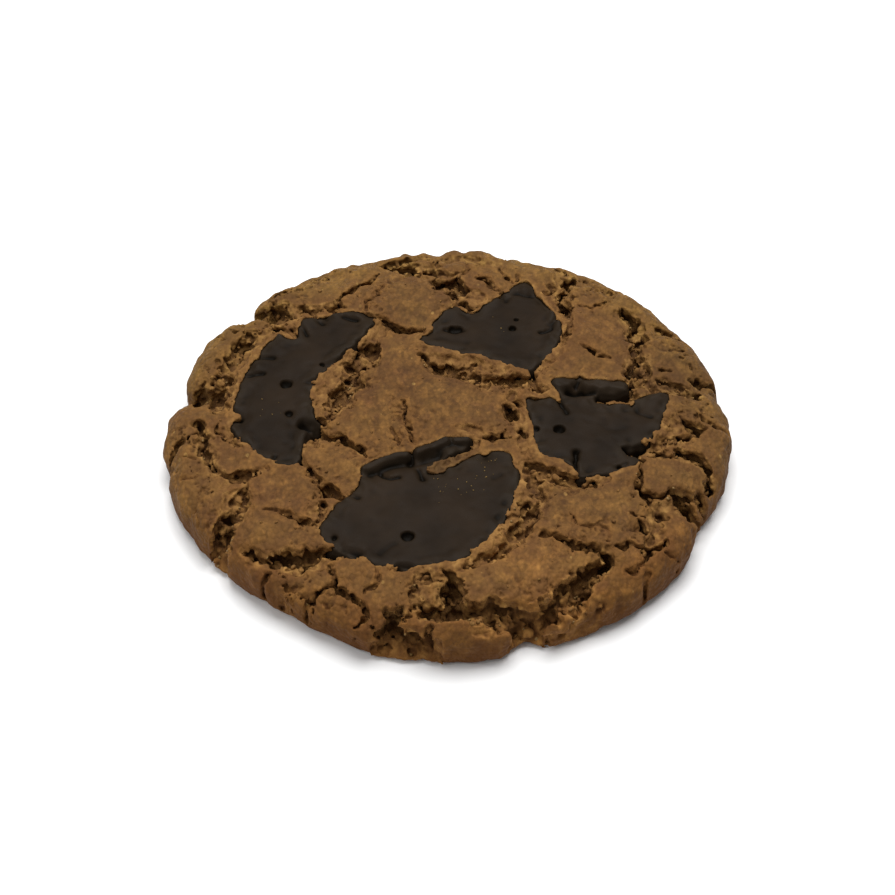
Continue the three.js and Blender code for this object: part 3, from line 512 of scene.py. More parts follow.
# where sugar lies thick: (x, y, spread)
SUGAR_SPOTS = [
    (-7, -42.8, 1.8), (-4, -43.4, 1.2), (20, -34, 1.5), (14, -40, 2.0), (-33, -25, 1.6), (11.5, -20, 2.0),
    (-16, 6, 1.6), (-36, 5, 1.0), (36, -19, 1.5), (2, -41, 2.0),
]

# specks on the chocolate: (x, y)
SPECKS = [
    (1.7, -17), (3, -15.5), (3.7, -16.3), (4, -17.3), (5.8, -12.5), (6, -14.5), (6.8, -11), (7.4, -11),
    (-1.4, -15), (-27.6, -0.7), (-1.0, -17.6), (9.0, 20.4), (-29.5, 3.0),
]

# ------------------------------------------------------------------ noise, steps and distances

FLAT_LATTICE = 64  # random values each way before flat noise repeats
SOLID_LATTICE = 32  # and before noise and pebbles in space repeat
LATTICE_START = 500.0  # in cells: keeps every place on the positive side of the lattice


def ease(share):
    return share * share * (3.0 - 2.0 * share)


def smooth_step(value, low, high):
    return ease(np.clip((value - low) / (high - low), 0.0, 1.0))


def noise(places, cell, seed):
    """Smooth noise from -1 to 1 at places, two or three arrays of coordinates, in cells of that size."""
    size = FLAT_LATTICE if len(places) == 2 else SOLID_LATTICE
    lattice = np.random.default_rng(seed).uniform(-1.0, 1.0, (size,) * len(places)).astype(np.float32)
    turn = 0.6 + 0.37 * (seed % 7)  # each seed's cells lie at a slant of their own
    turned = list(places)
    turned[0] = places[0] * math.cos(turn) - places[1] * math.sin(turn)
    turned[1] = places[0] * math.sin(turn) + places[1] * math.cos(turn)
    corners = []
    shares = []
    for place in turned:
        steps = np.asarray(place, np.float32) / cell + LATTICE_START
        whole = np.floor(steps)
        corners.append(whole.astype(np.int32))
        shares.append(ease(steps - whole))
    total = 0.0
    for corner in np.ndindex(*(2,) * len(places)):
        index = tuple((whole + step) % size for whole, step in zip(corners, corner))
        weight = 1.0
        for share, step in zip(shares, corner):
            weight = weight * (share if step else 1.0 - share)
        total = total + lattice[index] * weight
    return total


def fractal(places, cell, seed, octaves=3, keep=0.5):
    """Octaves of noise, each half the size and keep times the height of the one before."""
    total = 0.0
    height = 1.0
    for octave in range(octaves):
        total = total + height * noise(places, cell * 0.5**octave, seed + 31 * octave)
        height *= keep
    return total


def pebbles(places, cell, seed):
    """Grains of about that size packed side by side: below zero on a grain, above zero between grains."""
    size = SOLID_LATTICE
    jitter = np.random.default_rng(seed).uniform(0.1, 0.9, (size, size, size, 3)).astype(np.float32)
    steps = [np.asarray(place, np.float32) / cell + LATTICE_START for place in places]
    base = [np.floor(step - 0.5).astype(np.int32) for step in steps]
    nearest = np.full(steps[0].shape, FAR, np.float32)
    for corner in np.ndindex(2, 2, 2):
        corner_cell = [low + step for low, step in zip(base, corner)]
        offset = jitter[tuple(index % size for index in corner_cell)]
        away = sum((index + offset[..., which] - step) ** 2
                   for which, (index, step) in enumerate(zip(corner_cell, steps)))
        nearest = np.minimum(nearest, away)
    return np.sqrt(nearest) - 0.5


def bump(distance, half_width):
    return np.exp(-((distance / half_width) ** 2))


def fade_out(distance, reach):
    """1 at a distance of zero or less, and less and less farther off."""
    return np.exp(-np.maximum(distance, 0.0) / reach)


def smooth_line(points, closed=False, per_span=4):
    """Points on a Catmull-Rom curve through the given points."""
    knots = np.array(points, float)
    if closed:
        padded = np.vstack([knots[-1], knots, knots[:2]])
    else:
        padded = np.vstack([2 * knots[0] - knots[1], knots, 2 * knots[-1] - knots[-2]])
    curve = []
    for a, b, c, d in zip(padded, padded[1:], padded[2:], padded[3:]):
        for share in np.arange(per_span) / per_span:
            bend = 2 * a - 5 * b + 4 * c - d
            twist = 3 * b - 3 * c + d - a
            curve.append(0.5 * (2 * b + (c - a) * share + bend * share**2 + twist * share**3))
    if not closed:
        curve.append(knots[-1])
    return np.array(curve)


def line_distance(x, y, line):
    """How far each place is from a line, and how far along it and how far back its nearest point lies."""
    nearest = np.full(x.shape, np.inf)
    along = np.zeros(x.shape)
    back = np.zeros(x.shape)
    spans = len(line) - 1
    for index in range(spans):
        start, end = line[index], line[index + 1]
        run = end - start
        share = ((x - start[0]) * run[0] + (y - start[1]) * run[1]) / max(run @ run, 1e-9)
        share = np.clip(share, 0.0, 1.0)
        distance = np.hypot(x - start[0] - share * run[0], y - start[1] - share * run[1])
        closer = distance < nearest
        nearest = np.where(closer, distance, nearest)
        along = np.where(closer, (index + share) / spans, along)
        back = np.where(closer, start[1] + share * run[1], back)
    return nearest, along, back


def signed_distance(x, y, outline):
    """Distance to a closed outline, below zero inside it."""
    ring = np.vstack([outline, outline[:1]])
    distance = line_distance(x, y, ring)[0]
    inside = np.zeros(x.shape, bool)
    for start, end in zip(ring, ring[1:]):
        if start[1] == end[1]:
            continue
        spans = (start[1] > y) != (end[1] > y)
        crossing = start[0] + (y - start[1]) * (end[0] - start[0]) / (end[1] - start[1])
        inside ^= spans & (x < crossing)
    return np.where(inside, -distance, distance)


# ------------------------------------------------------------------ the unbroken cookie


def outline_radius(bearing, fine=False):
    """The outline: a slight oval with faint waves, its dents and, if asked for, its fine notches."""
    radius = RADIUS + 0.22 * np.cos(2 * bearing - 1.05)
    radius = radius + 0.12 * np.sin(7 * bearing) + 0.1 * np.cos(11 * bearing + 1)
    for degrees, depth, half_width in RIM_DENTS + (FINE_NOTCHES if fine else []):
        away = (np.degrees(bearing) - degrees + 180.0) % 360.0 - 180.0
        radius = radius - depth * bump(away, half_width)
    return radius


def dome_height(share):
    """Height of the dome at a share of the way out to the outline. Beyond it the height keeps falling."""
    late, steep = SHOULDER_POWERS
    inner = np.clip(1.0 - np.minimum(share, 1.0) ** late, 0.0, 1.0) ** (1.0 / steep)
    beyond = np.maximum(share - 1.0, 0.0) * RADIUS * 6.0
    return SHOULDER_HEIGHT + (CROWN_HEIGHT - SHOULDER_HEIGHT) * inner - beyond


def raised(height, x, y, lumps):
    """The height with round lumps (x, y, lift, radius) added. A lift below zero makes a dip."""
    for lump_x, lump_y, lift, radius in lumps:
        height = height + lift * bump(np.hypot(x - lump_x, y - lump_y), radius)
    return height


def crust_height(x, y):
    """Height of the unbroken crust at a place in plan: the dome, faint waves and the lifted plates."""
    share = np.hypot(x, y) / outline_radius(np.arctan2(y, x))
    relief = raised(0.12 * np.sin(0.21 * x + 1) * np.cos(0.17 * y), x, y, PLATES)
    return dome_height(share) + relief * (1.0 - smooth_step(share, 0.93, 1.0))


turns = np.linspace(0.0, 2 * math.pi, 721)
rim = outline_radius(turns)
# the origin of the solids lies under the middle of the whole, so every piece is moved by as much
reaches = (rim * np.cos(turns), rim * np.sin(turns))
MIDDLE = np.array([(max(reach) + min(reach)) / 2 for reach in reaches] + [0.0])

# ------------------------------------------------------------------ the grid, and plan maps of the breaks

CELLS_ACROSS = int(round(2 * REACH / SPACING))
axis = np.linspace(-REACH, REACH, CELLS_ACROSS + 1)
PITCH = axis[1] - axis[0]
CELLS_UP = int(round((GRID_TOP - GRID_FLOOR) / PITCH))
rise = GRID_FLOOR + PITCH * np.arange(CELLS_UP + 1)
LOW_CORNER = np.array([-REACH, -REACH, GRID_FLOOR])
plan_x, plan_y = np.meshgrid(axis, axis, indexing="ij")
PLAN = [plan_x, plan_y]

# every drawn line is followed at a wandering distance, so that no edge is straight
WANDER = [(2.6, 0.34), (0.9, 0.34)]  # (size of the waves, how far they push)
wander_x = sum(push * noise(PLAN, size, 11) for size, push in WANDER)
wander_y = sum(push * noise(PLAN, size, 23) for size, push in WANDER)
width_wave = fractal(PLAN, 2.2, 5, 2)


def near(line, margin):
    """The slice of the plan maps that a line reaches, with a margin."""
    low = np.searchsorted(axis, line.min(0) - margin)
    high = np.searchsorted(axis, line.max(0) + margin)
    return slice(max(low[0] - 1, 0), high[0] + 1), slice(max(low[1] - 1, 0), high[1] + 1)


depth_map = np.zeros_like(plan_x)  # how deep the breaks are
edge_map = np.full_like(plan_x, FAR)  # distance to the nearest break's edge, below zero inside the break
drop_map = np.zeros_like(plan_x)  # how much lower the crust in front of a break lies
sag_map = np.zeros_like(plan_x)  # how far the crust sags towards a break
browned_map = np.zeros_like(plan_x)  # how browned the crust beside a break is, with painted shade on its slope down to the break


def deepen(plan, part, values):
    plan[part] = np.maximum(plan[part], values)


WIDEST = 1.6  # about the most that a feature's half width is multiplied by
BESIDE = 4.0  # how far beside a feature the crust shows it


def carve(features, wall, floor_power):
    """Draws each feature into the maps above. Its walls are wall wide, and steeper at a low floor_power."""
    for half_width, depth, points in features:
        line = smooth_line(points)
        part = near(line, half_width * WIDEST + BESIDE)
        x = plan_x[part] + wander_x[part]
        y = plan_y[part] + wander_y[part]
        distance, along, back = line_distance(x, y, line)
        taper = 0.5 + 0.5 * np.sin(math.pi * np.clip(along, 0.0, 1.0)) ** 0.5
        width = half_width * taper * (1.0 + 0.5 * width_wave[part])
        inside = width - distance
        share = np.clip(inside / np.minimum(wall, width), 0.0, 1.0)
        deepen(depth_map, part, depth * (0.6 + 0.4 * taper) * share**floor_power)
        edge_map[part] = np.minimum(edge_map[part], -inside)
        weight = taper * min(half_width, 1.2) / 1.2
        outside = np.maximum(-inside, 0.0)
        in_front = smooth_step(back - y, -0.1, 0.1)
        deepen(sag_map, part, min(0.2 * depth, 0.5) * weight * bump(outside, 1.3) * (0.3 + 0.7 * in_front))
        deepen(browned_map, part, weight * bump(outside, 3.0))
        # the crust in front of a break lies lower than the plate behind it, most of all at the front
        step = 0.2 * min(half_width, 1.0) + 0.35 * min(depth / 2.5, 1.0) * smooth_step(-y, 8.0, 25.0)
        deepen(drop_map, part, step * (2.0 * taper - 1.0) * np.exp(-distance / 2.4) * in_front)


def chocolate_maps():
    """For each piece of chocolate its slice of the plan and the distance to its outline there.

    After them comes the distance to the nearest piece, all over the plan.
    """
    maps = {}
    nearest = np.full_like(plan_x, FAR)
    for name, piece in CHOCOLATE.items():
        ring = smooth_line(piece["outline"], closed=True, per_span=3)
        part = near(ring, BESIDE)
        here = [plan_x[part], plan_y[part]]
        x = plan_x[part] + 0.5 * wander_x[part] + 0.2 * noise(here, 0.9, 401)
        y = plan_y[part] + 0.5 * wander_y[part] + 0.2 * noise(here, 0.9, 403)
        distance = signed_distance(x, y, ring)
        maps[name] = (part, distance)
        nearest[part] = np.minimum(nearest[part], distance)
    return maps, nearest


def hollow_floors():
    """Two factors for the hollows' depth: lumpy floors, and shallow where the dough holds chocolate."""
    lumps = fractal(PLAN, 1.8, 41, 3, 0.6)
    lumpy = 1.0 - hollow_map * (0.3 * smooth_step(lumps, 0.1, 0.8) - 0.15 * smooth_step(-lumps, 0.1, 0.8))
    holding = 1.0 - smooth_step(nearest_chunk, 0.5, 1.5)
    holding *= smooth_step(noise(PLAN, 2.6, 47), -0.7, -0.2)
    return lumpy, 1.0 - 0.8 * holding


def crazing():
    """Depth of the fine cracks, which craze the crust beside its breaks and along the rim, nowhere else."""
    busy = fade_out(edge_map, 1.7)
    along_rim = smooth_step(from_middle, 0.74, 0.92)
    busy = np.maximum(busy, along_rim) * smooth_step(noise(PLAN, 6.0, 351), -0.35, 0.3)
    busy *= 1.0 - smooth_step(from_middle, 0.93, 0.975)
    web = np.abs(fractal(PLAN, 5.0, 301, 4, 0.62))
    branches = np.abs(fractal(PLAN, 3.0, 331, 3, 0.62))
    cracks = np.clip(np.maximum(1.0 - web / 0.075, 1.0 - branches / 0.06), 0.0, 1.0) ** 0.7 * busy
    return 0.85 * cracks


def fine_relief():
    """Relief of the crust that the dome lacks: calm on the steep side, lumpy along the far rim."""
    steady = 1.0 - (0.8 - 0.6 * smooth_step(plan_y, 0.0, 25.0)) * smooth_step(from_middle, 0.9, 0.98)
    height = 0.12 * steady * fractal(PLAN, 2.0, 61, 2, 0.5)
    height += 0.26 * noise(PLAN, 5.5, 67) + 0.14 * noise(PLAN, 3.4, 77)
    height += 0.34 * smooth_step(from_middle, 0.75, 0.9) * steady * noise(PLAN, 3.1, 69)
    far_rim = smooth_step(plan_y, 12.0, 30.0) * smooth_step(from_middle, 0.8, 0.9)
    height += 0.4 * far_rim * fractal(PLAN, 2.6, 79, 2, 0.6)
    return raised(height, plan_x, plan_y, RIM_LUMPS)


def patchy(cell, seed, most):
    """Shares that change from patch to patch, from 0 up to the most."""
    return np.clip(0.65 + 0.9 * fractal(PLAN, cell, seed, 2), 0.0, most)


from_middle = np.hypot(plan_x, plan_y) / RADIUS
chunk_maps, nearest_chunk = chocolate_maps()
carve(HOLLOWS, 0.4, 0.7)
hollow_map = smooth_step(-edge_map, 0.0, 0.9)
carve([(half_width, CRUMBLY_DEPTH, points) for half_width, points in CRUMBLY], 0.5, 0.7)
ragged = 0.5 * fractal(PLAN, 1.6, 53, 2, 0.6)
crumbly_map = smooth_step(ragged - edge_map, -0.35, 0.25)
for share in hollow_floors():
    depth_map *= share
carve(NOTCHES, 0.4, 0.6)
carve(CRACKS, 0.3, 0.6)
depth_map = np.maximum(depth_map, crazing())

# the crust crumbles away a little along each break and round the chocolate, and slopes down to the breaks
rounding = np.maximum(0.09 * fade_out(edge_map, 0.35), 0.12 * fade_out(nearest_chunk, 0.5))
sag_map *= patchy(2.8, 73, 1.4)
top_map = crust_height(plan_x, plan_y) + fine_relief() - rounding - drop_map - sag_map
frayed_map = fade_out(np.minimum(edge_map, nearest_chunk + 0.3), 0.7)
browned_map *= patchy(2.4, 91, 1.0)


def sample(plan, x, y):
    """A plan map's value at any place, between its grid points."""
    u = np.clip((x + REACH) / PITCH, 0, CELLS_ACROSS - 1e-3)
    v = np.clip((y + REACH) / PITCH, 0, CELLS_ACROSS - 1e-3)
    i, j = u.astype(np.int32), v.astype(np.int32)
    s, t = u - i, v - j
    low = plan[i, j] * (1 - s) + plan[i + 1, j] * s
    high = plan[i, j + 1] * (1 - s) + plan[i + 1, j + 1] * s
    return low * (1 - t) + high * t


def slope_scale(plan):
    """What turns a height above a plan map into a distance from it."""
    across, along = np.gradient(plan, PITCH)
    return 1.0 / np.sqrt(1.0 + across**2 + along**2)


def widest(plan, reach):
    """A plan map's greatest value within reach of each place."""
    cells = int(math.ceil(reach / PITCH))
    for along in (0, 1):
        plan = np.max([np.roll(plan, step, along) for step in range(-cells, cells + 1)], axis=0)
    return plan


# ------------------------------------------------------------------ distance fields on the grid

BAND = 1.4  # how near the surface the dough's detail is worked out
FIELD_LIMIT = 2.0  # distances beyond it are not told apart


def side_inset(height):
    """How far the side lies inside the outline at a height: the foot curls under, the shoulder leans in."""
    foot = FOOT_INSET * np.clip((WAIST_HEIGHT - height) / WAIST_HEIGHT, 0.0, 1.0) ** 2.0
    lean = 0.04 * np.clip(height - SHOULDER_HEIGHT, 0.0, 6.0) ** 1.6
    return foot + lean


def smooth_max(a, b, radius):
    blend = np.clip(0.5 + 0.5 * (a - b) / radius, 0.0, 1.0)
    return b + (a - b) * blend + radius * blend * (1.0 - blend)


def crust_field():
    """Distance to the unbroken crust, which has no underside, and to its side alone, below zero inside."""
    bearing = np.arctan2(plan_y, plan_x)
    rim_map = outline_radius(bearing)
    notch_map = outline_radius(bearing, fine=True) - rim_map
    rim_map += np.maximum(notch_map, 0.0)
    notch_map = np.minimum(notch_map, 0.0)
    from_axis = np.hypot(plan_x, plan_y)
    height = rise[None, None, :]
    # how far off the dome each place is straight up and straight out give its distance
    late, steep = SHOULDER_POWERS
    uneven = top_map - dome_height(from_axis / rim_map)
    up = (height - top_map[..., None]) * slope_scale(uneven)[..., None]
    share = (height - uneven[..., None] - SHOULDER_HEIGHT) / (CROWN_HEIGHT - SHOULDER_HEIGHT)
    share = np.clip(share, 0.0, 1.0)
    out = from_axis[..., None] - rim_map[..., None] * (1.0 - share**steep) ** (1.0 / late)
    above = up * np.abs(out) / np.sqrt(up**2 + out**2 + 1e-6)
    # the fine notches fade out towards the foot
    notched = notch_map[..., None] * smooth_step(height, 1.5, 4.5)
    side = (from_axis - rim_map)[..., None] - notched + side_inset(height)
    return smooth_max(above, side, 0.45).astype(np.float32), side.astype(np.float32)


def side_lumps(places):
    """How far the side is sunk in at places: it is lumpy where the top is smooth."""
    return 0.34 + 0.4 * fractal(places, 4.6, 97, 2, 0.6) + 0.2 * fractal(places, 2.4, 127, 2, 0.5)


def break_share(height):
    """How much of its depth a break keeps at a height: none at the foot."""
    return smooth_step(height, 0.8, 2.6).astype(np.float32)


def with_room(field, chocolate_fields):
    """The dough's field with a pocket for each piece of chocolate."""
    for chocolate_piece in chocolate_fields.values():
        field = np.maximum(field, CHOCOLATE_GAP - chocolate_piece)
    return field


def dough_field(unbroken, side, chocolate_fields):
    """Distance to the dough's surface, below zero inside: exact only near the surface."""
    field = unbroken + depth_map[..., None].astype(np.float32) * break_share(rise)
    deep = widest(depth_map, BREAK_SHIFT)
    i, j, k = np.nonzero((unbroken < BAND) & (unbroken + deep[..., None] > -BAND))
    x, y, height = (values.astype(np.float32) for values in (axis[i], axis[j], rise[k]))
    places = [x, y, height]
    # the side is lumpier than the top
    skin = unbroken[i, j, k] + side_lumps(places) * smooth_step(side[i, j, k], -2.6, -0.4)
    # breaks wander more and more below the crust, run back under the plates, and die out towards the foot
    under = np.clip(-skin, 0.0, 3.0)
    shift = 0.3 + 0.4 * smooth_step(under, 0.15, 0.9)
    x_moved = x + shift * fractal(places, 1.3, 71, 2, 0.62)
    y_moved = y + shift * fractal(places, 1.3, 83, 2, 0.62) - UNDERCUT * smooth_step(under, 0.3, 2.6)
    depth = sample(depth_map, x_moved, y_moved) * break_share(height)
    broken = (skin + depth) * sample(slope_scale(depth_map), x_moved, y_moved)
    # crumb: every face below the old crust is rough, and the crust frays beside each break
    crumb = np.maximum(smooth_step(under, 0.12, 0.55), 0.8 * sample(crumbly_map, x, y))
    bent = [place + 0.5 * noise(places, 1.7, seed) for place, seed in zip(places, (85, 87, 89))]
    large_grains = pebbles(bent, 1.5, 101)
    small_grains = pebbles(bent, 0.8, 103)
    rough = 0.3 * noise(places, 2.4, 105) + 0.56 * large_grains
    rough += (0.2 + 0.12 * smooth_step(under, 0.6, 1.6)) * small_grains
    grain = 0.07 * noise(places, 1.4, 107) + 0.07 * small_grains
    broken += crumb * rough + (1.0 - crumb) * grain * (1.0 + sample(frayed_map, x, y))
    # the dough's lip stands back from the chocolate in some places and laps over it in others
    x_frayed = x + 0.22 * noise(places, 0.9, 109)
    y_frayed = y + 0.22 * noise(places, 0.9, 113)
    lip = -0.3 + 0.3 * noise(places, 2.0, 117)
    open_side = sample(nearest_chunk, x_frayed, y_frayed) - lip
    open_floor = sample(top_map, x, y) - 1.3 + 0.4 * noise(places, 1.5, 119) - height
    field[i, j, k] = np.maximum(broken, -np.maximum(open_side, open_floor))
    return with_room(field, chocolate_fields)


def stamp_balls(field, balls, cut, bumpy=1.0):
    """Cuts balls (x, y, z, radius) from a field, or joins them to it. The bumpier, the less round."""
    for x, y, z, radius in balls:
        from_corner = np.array([x, y, z]) - LOW_CORNER
        reach = radius + 2 * PITCH
        first = np.maximum(((from_corner - reach) / PITCH).astype(int), 0)
        last = np.minimum(((from_corner + reach) / PITCH).astype(int) + 2, field.shape)
        if (last <= first).any():
            continue
        part = tuple(slice(a, b) for a, b in zip(first, last))
        dx = (axis[part[0]] - x)[:, None, None]
        dy = (axis[part[1]] - y)[None, :, None]
        dz = (rise[part[2]] - z)[None, None, :]
        uneven = 0.2 * np.sin(4.1 * dx + 3 * x) * np.cos(3.3 * dy + y) + 0.16 * np.sin(5 * dz + x)
        ball = np.sqrt(dx**2 + dy**2 + dz**2) * (1.0 + bumpy * uneven) - radius
        soft = 0.12 + 0.3 * radius
        sign = 1.0 if cut else -1.0
        field[part] = sign * smooth_max(sign * field[part], -ball, soft)


def surface_heights(field, x, y):
    """Height of the first surface met from above at places in plan."""
    nearest = [np.clip(np.round((place + REACH) / PITCH).astype(int), 0, CELLS_ACROSS) for place in (x, y)]
    columns = field[tuple(nearest)]
    solid = columns[:, ::-1] < 0.0
    top = CELLS_UP - solid.argmax(axis=1)
    here = columns[np.arange(len(top)), top]
    next_up = columns[np.arange(len(top)), np.minimum(top + 1, CELLS_UP)]
    return rise[top] + PITCH * np.clip(-here / np.maximum(next_up - here, 1e-6), 0.0, 1.0)


def sample_field(field, points):
    """A field's value at points, between its grid points."""
    place = np.clip((points - LOW_CORNER) / PITCH, 0, np.array(field.shape) - 1.001)
    base = place.astype(int)
    share = place - base
    total = 0.0
    for corner in np.ndindex(2, 2, 2):
        weight = 1.0
        for which, step in enumerate(corner):
            weight = weight * (share[:, which] if step else 1.0 - share[:, which])
        total = total + field[tuple((base + corner).T)] * weight
    return total


def hollowness(field, points, reach):
    """How far each surface point lies in a pit (above zero) or on a lump (below zero) of that reach."""
    cells = max(int(round(reach / PITCH)), 1)
    window = 2 * cells + 1
    blurred = np.clip(field, -reach, reach)
    for along in range(3):
        margin = [(0, 0)] * 3
        margin[along] = (cells + 1, cells)
        total = np.cumsum(np.pad(blurred, margin, mode="edge"), axis=along, dtype=np.float32)
        ahead = np.take(total, range(window, total.shape[along]), axis=along)
        behind = np.take(total, range(0, total.shape[along] - window), axis=along)
        blurred = (ahead - behind) / window
    return -sample_field(blurred, points)


# ------------------------------------------------------------------ meshes


def build_mesh(name, points, faces):
    """An object made of points in mm and faces, which all have the same number of corners."""
    mesh = bpy.data.meshes.new(name)
    mesh.vertices.add(len(points))
    mesh.vertices.foreach_set("co", (points * MM - MIDDLE * MM).astype(np.float32).ravel())
    mesh.loops.add(faces.size)
    mesh.loops.foreach_set("vertex_index", faces.astype(np.int32).ravel())
    mesh.polygons.add(len(faces))
    mesh.polygons.foreach_set("loop_start", np.arange(len(faces), dtype=np.int32) * faces.shape[1])
    mesh.update(calc_edges=True)
    mesh.validate()
    mesh.shade_smooth()
    piece = bpy.data.objects.new(name, mesh)
    bpy.context.collection.objects.link(piece)
    return piece


def largest_shell(count, faces):
    """Which of that many points belong to the largest connected surface."""
    label = np.arange(count)
    edges = np.vstack([faces[:, corner : corner + 2] for corner in range(3)]).astype(np.int64)
    while True:
        low = np.minimum(label[edges[:, 0]], label[edges[:, 1]])
        new = label.copy()
        np.minimum.at(new, edges[:, 0], low)
        np.minimum.at(new, edges[:, 1], low)
        new = new[new]
        new = new[new]
        if (new == label).all():
            return label == np.bincount(label).argmax()
        label = new


def mesh_from_field(name, field):
    """A closed mesh of a field's surface, without small loose shells, and its points in mm."""
    grid = openvdb.FloatGrid(FIELD_LIMIT)
    grid.copyFromArray(np.clip(field, -FIELD_LIMIT, FIELD_LIMIT).astype(np.float32))
    points, faces = grid.convertToQuads(isovalue=0.0)
    keep = largest_shell(len(points), faces)
    points = (np.asarray(points, float) * PITCH + LOW_CORNER)[keep]
    new_index = np.cumsum(keep) - 1
    return build_mesh(name, points, new_index[faces[keep[faces[:, 0]]]]), points


def add_attributes(piece, **attributes):
    """Gives a piece's points the values that its material reads, each by its name."""
    for name, values in attributes.items():
        attribute = piece.data.attributes.new(name, "FLOAT", "POINT")
        attribute.data.foreach_set("value", np.full(len(piece.data.vertices), values, np.float32))


# ------------------------------------------------------------------ dough


def broken_places(count, seed, hollows_only=False):
    """Seeded places in plan inside what is broken, none of them on chocolate."""
    mask = hollow_map if hollows_only else (depth_map > 0.6)
    mask = mask * (nearest_chunk > 0.4) * (from_middle < 0.95)
    rows, columns = np.nonzero(mask > 0.4)
    chance = np.random.default_rng(seed)
    picked = chance.integers(0, len(rows), count)
    jitter = chance.uniform(-0.5, 0.5, (count, 2)) * PITCH
    return axis[rows[picked]] + jitter[:, 0], axis[columns[picked]] + jitter[:, 1], chance


def on_disc(chance, count, reach, power):
    """Places in plan on a disc of that reach: the lower the power, the more of them lie near its rim."""
    bearing = chance.uniform(0.0, 2 * math.pi, count)
    away = reach * chance.uniform(0.0, 1.0, count) ** power
    return away * np.cos(bearing), away * np.sin(bearing)


def draw_radii(chance, count, least, span, power):
    """Radii from least up to least + span."""
    return least + span * chance.uniform(0.0, 1.0, count) ** power


def balls_on(field, x, y, chance, radii, heights):
    """Balls (x, y, z, radius) on a surface, from the lowest to the highest of two heights in radii."""
    radius = draw_radii(chance, len(x), *radii)
    z = surface_heights(field, x, y) + radius * chance.uniform(*heights, len(x))
    return zip(x, y, z, radius)


def stamp_crumb(field):
    """Joins lumps to the hollows' floors, cuts pores and caves in the breaks, and pits in the crust."""
    lumps = broken_places(FUSED_LUMPS, 7, hollows_only=True)
    stamp_balls(field, balls_on(field, *lumps, LUMP_RADII, (-0.3, 0.4)), cut=False)
    heights = surface_heights(field, *np.array(PORES)[:, :2].T)
    named = [(x, y, z + 0.2 * radius, radius) for (x, y, radius), z in zip(PORES, heights)]
    stamp_balls(field, named + CAVES, cut=True)
    pores = broken_places(SMALL_PORES, 9)
    stamp_balls(field, balls_on(field, *pores, PORE_RADII, (-0.4, 0.5)), cut=True)
    chance = np.random.default_rng(13)
    pits = on_disc(chance, CRUST_PITS, 44.0, 0.42)
    stamp_balls(field, balls_on(field, *pits, chance, PIT_RADII, (0.1, 0.6)), cut=True)


def rim_share(points, inner, outer):
    """0 up to a share inner of the way out to the rim, and 1 from a share outer of the way."""
    return smooth_step(np.hypot(points[:, 0], points[:, 1]) / RADIUS, inner, outer)


def tone(x, y):
    """How much paler (above 1) or darker (below 1) the crust is at places in plan: partly its baked tone,
    partly painted light and painted shade.
    """
    shade = np.ones(x.shape)
    for patch_x, patch_y, radius, gain in TONE_AND_LIGHT_PATCHES:
        shade = shade * (1.0 + (gain - 1.0) * bump(np.hypot(x - patch_x, y - patch_y), radius))
    return shade


def trimmed(field):
    """The field cut to a flat underside with shallow pits, and to the box of the solids."""
    pits = 0.16 * smooth_step(fractal(PLAN, 2.6, 131, 3, 0.6), 0.25, 0.8)
    field = smooth_max(field, pits[..., None] - rise[None, None, :], 0.8)
    field = np.maximum(field, (rise - HIGHEST)[None, None, :])
    field = np.maximum(field, (np.abs(plan_x - MIDDLE[0]) - HALF_WIDTH)[..., None])
    return np.maximum(field, (np.abs(plan_y - MIDDLE[1]) - HALF_LENGTH)[..., None]).astype(np.float32)


def make_dough(chocolate_fields):
    """The dough, and the field that its surface was taken from."""
    unbroken, side = crust_field()
    field = dough_field(unbroken, side, chocolate_fields)
    stamp_crumb(field)
    field = trimmed(with_room(field, chocolate_fields))
    piece, points = mesh_from_field("dough", field)
    x, y, z = points.T
    # what lies below the old crust is crumb, and so is the dough right beside the chocolate
    below = -sample_field(unbroken, points)
    sunk = side_lumps(list(points.T.astype(np.float32))) * rim_share(points, 0.93, 0.98)
    crumb = smooth_step(below - np.maximum(sunk, 0.0), 0.2, 0.75)
    crumb = np.maximum(crumb, 0.85 * sample(crumbly_map, x, y))
    near_chunk = 1.0 - smooth_step(sample(nearest_chunk, x, y), 0.1, 0.8)
    # pit and dip carry painted shade into hollows, lump carries painted light onto bumps
    pit = hollowness(field, points, 0.45)
    dip = hollowness(field, points, 1.3)
    add_attributes(
        piece,
        crumb=np.maximum(crumb, 0.6 * near_chunk),
        tone=tone(x, y),
        # depth: painted shade, crumb darker the deeper it lies below the crust
        depth=smooth_step(below, 0.5, 3.5),
        pit=np.clip(pit / 0.14, 0.0, 1.0),
        lump=np.clip(-pit / 0.12, 0.0, 1.0),
        dip=np.clip(dip / 0.55, 0.0, 1.0),
        frayed=sample(frayed_map, x, y),
        # browner beside breaks: partly baked colour, partly painted shade
        browned=sample(browned_map, x, y),
        height=z / CROWN_HEIGHT,
        # the far rim bakes yellower and gets painted light, the near side bakes redder and gets painted
        # shade
        golden=rim_share(points, 0.7, 0.97) * (0.25 + 0.75 * smooth_step(y, -15.0, 25.0)),
        ruddy=rim_share(points, 0.84, 0.95) * (1.0 - smooth_step(y, -32.0, -8.0)),
    )
    return piece, field


# ------------------------------------------------------------------ chocolate


